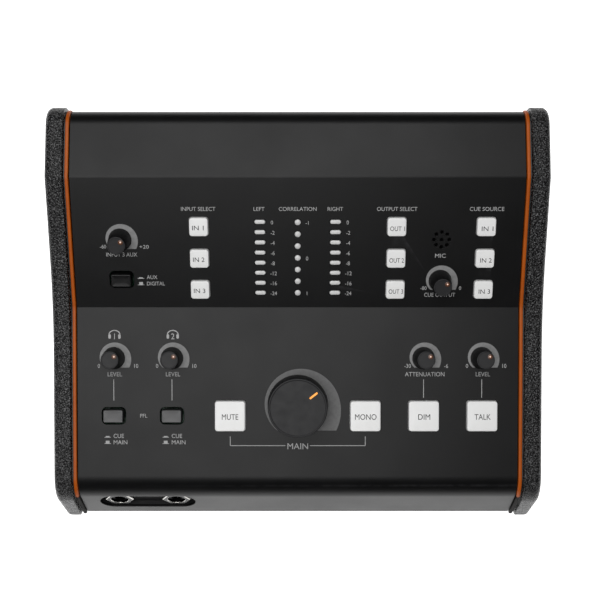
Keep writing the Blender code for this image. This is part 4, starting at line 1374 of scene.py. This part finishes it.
def base():
    """Folded tray, rubber feet with their screws, and the screws that hold the boards."""
    softened_copy("base_tray_sheet", "base_tray", COAT, "dark_powder_coat", 0.15)
    under = FRONT_EDGE.y / MM
    profile = turned_profile(
        ((0, 5.0), (7.8, 5.0), (7.25, 0.9), (6.6, 0.0), (2.9, 0.0), (2.8, 2.5), (0, 2.5)),
        (0, 0.3, 0.5, 0.8, 0.6, 0.2, 0),
    )
    upside_down = Matrix.Rotation(math.pi, 4, "X")
    for node in NODES:
        if not node.endswith("_foot"):
            continue
        low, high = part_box(node)
        middle = Matrix.Translation(((low.x + high.x) / 2, (low.y + high.y) / 2, 0))
        foot = solid(f"{node}_rubber", middle, lathe, profile, 72)
        piece(foot, RUBBER, CASE, "foot_rubber", node, sharp=50)
        seat = spot(middle, 0, 0, FOOT_SCREW_HEIGHT) @ upside_down
        screw(f"{node}_screw", seat, 2.2, 1.1, NICKEL)
    for number, (x, y) in enumerate(BASE_SCREWS, start=1):
        place = spot(Matrix(), x, y, under) @ upside_down
        screw(f"base_screw_{number}", place, 2.6, 1.2)


# ---------------------------------------------------------------- nodes kept as they are

KEPT_LOOKS = {
    "upper_control_board": BOARD,
    "lower_control_board": BOARD,
    "rear_connector_board": BOARD,
    "talkback_microphone": CAN_METAL,
}


def kept_nodes():
    """Nodes whose shape is right get their finish."""
    looks = dict(KEPT_LOOKS)
    for node in NODES:
        if node.endswith("_shaft"):
            looks[node] = NICKEL
    for node, look in looks.items():
        NODES[node].data.materials.clear()
        NODES[node].data.materials.append(look)


# ---------------------------------------------------------------- stage


def stage():
    bm = bmesh.new()
    bmesh.ops.create_grid(bm, x_segments=1, y_segments=1, size=3.0)
    floor = new_object("studio_floor", bm)
    look = Look("studio_floor_white", (0.93, 0.93, 0.93), 0.6, 0.2)
    look.set("Emission Color", (1, 1, 1, 1))
    near = look.tree.nodes.new("ShaderNodeVectorMath")
    near.operation = "LENGTH"
    look.link(look.place, near.inputs[0])
    glow = look.spread(near.outputs["Value"], 1.02, 0.0, 0.20, 0.50)
    look.link(glow, look.shader.inputs["Emission Strength"])
    floor.data.materials.append(look.material)


def softbox(name, place, aim, size, power):
    light = bpy.data.lights.new(name, "AREA")
    light.shape = "RECTANGLE"
    light.size, light.size_y = size
    light.energy = power
    lamp = bpy.data.objects.new(name, light)
    lamp.location = place
    lamp.rotation_euler = (Vector(aim) - Vector(place)).to_track_quat("-Z", "Y").to_euler()
    bpy.context.scene.collection.objects.link(lamp)


def lighting():
    softbox("overhead_softbox", (-0.18, 0.03, 1.25), (-0.05, 0.0, 0), (1.45, 0.95), 15.3)
    world = bpy.data.worlds.new("studio")
    world.use_nodes = True
    world.node_tree.nodes["Background"].inputs["Color"].default_value = (0.8, 0.8, 0.8, 1)
    world.node_tree.nodes["Background"].inputs["Strength"].default_value = 0.02
    bpy.context.scene.world = world
    bpy.context.scene.view_settings.view_transform = "Standard"


def camera():
    """Straight above the front half, tipped back a little."""
    view = bpy.data.cameras.new("camera")
    view.lens = 66
    view.sensor_width = 36
    eye = bpy.data.objects.new("camera", view)
    eye.location = (0.0012, FRONT_EDGE.x + 58.57 * MM, 0.6286)
    eye.rotation_euler = (math.radians(5.5), 0, 0)
    bpy.context.scene.collection.objects.link(eye)
    bpy.context.scene.camera = eye


camera()
lighting()
stage()
face_panel()
trims()
cheeks()
upper_print()
lower_print()
knobs()
white_buttons()
latch_buttons()
light_guides()
microphone_cloth()
headphone_jacks()
recess_bezel()
rear()
base()
kept_nodes()
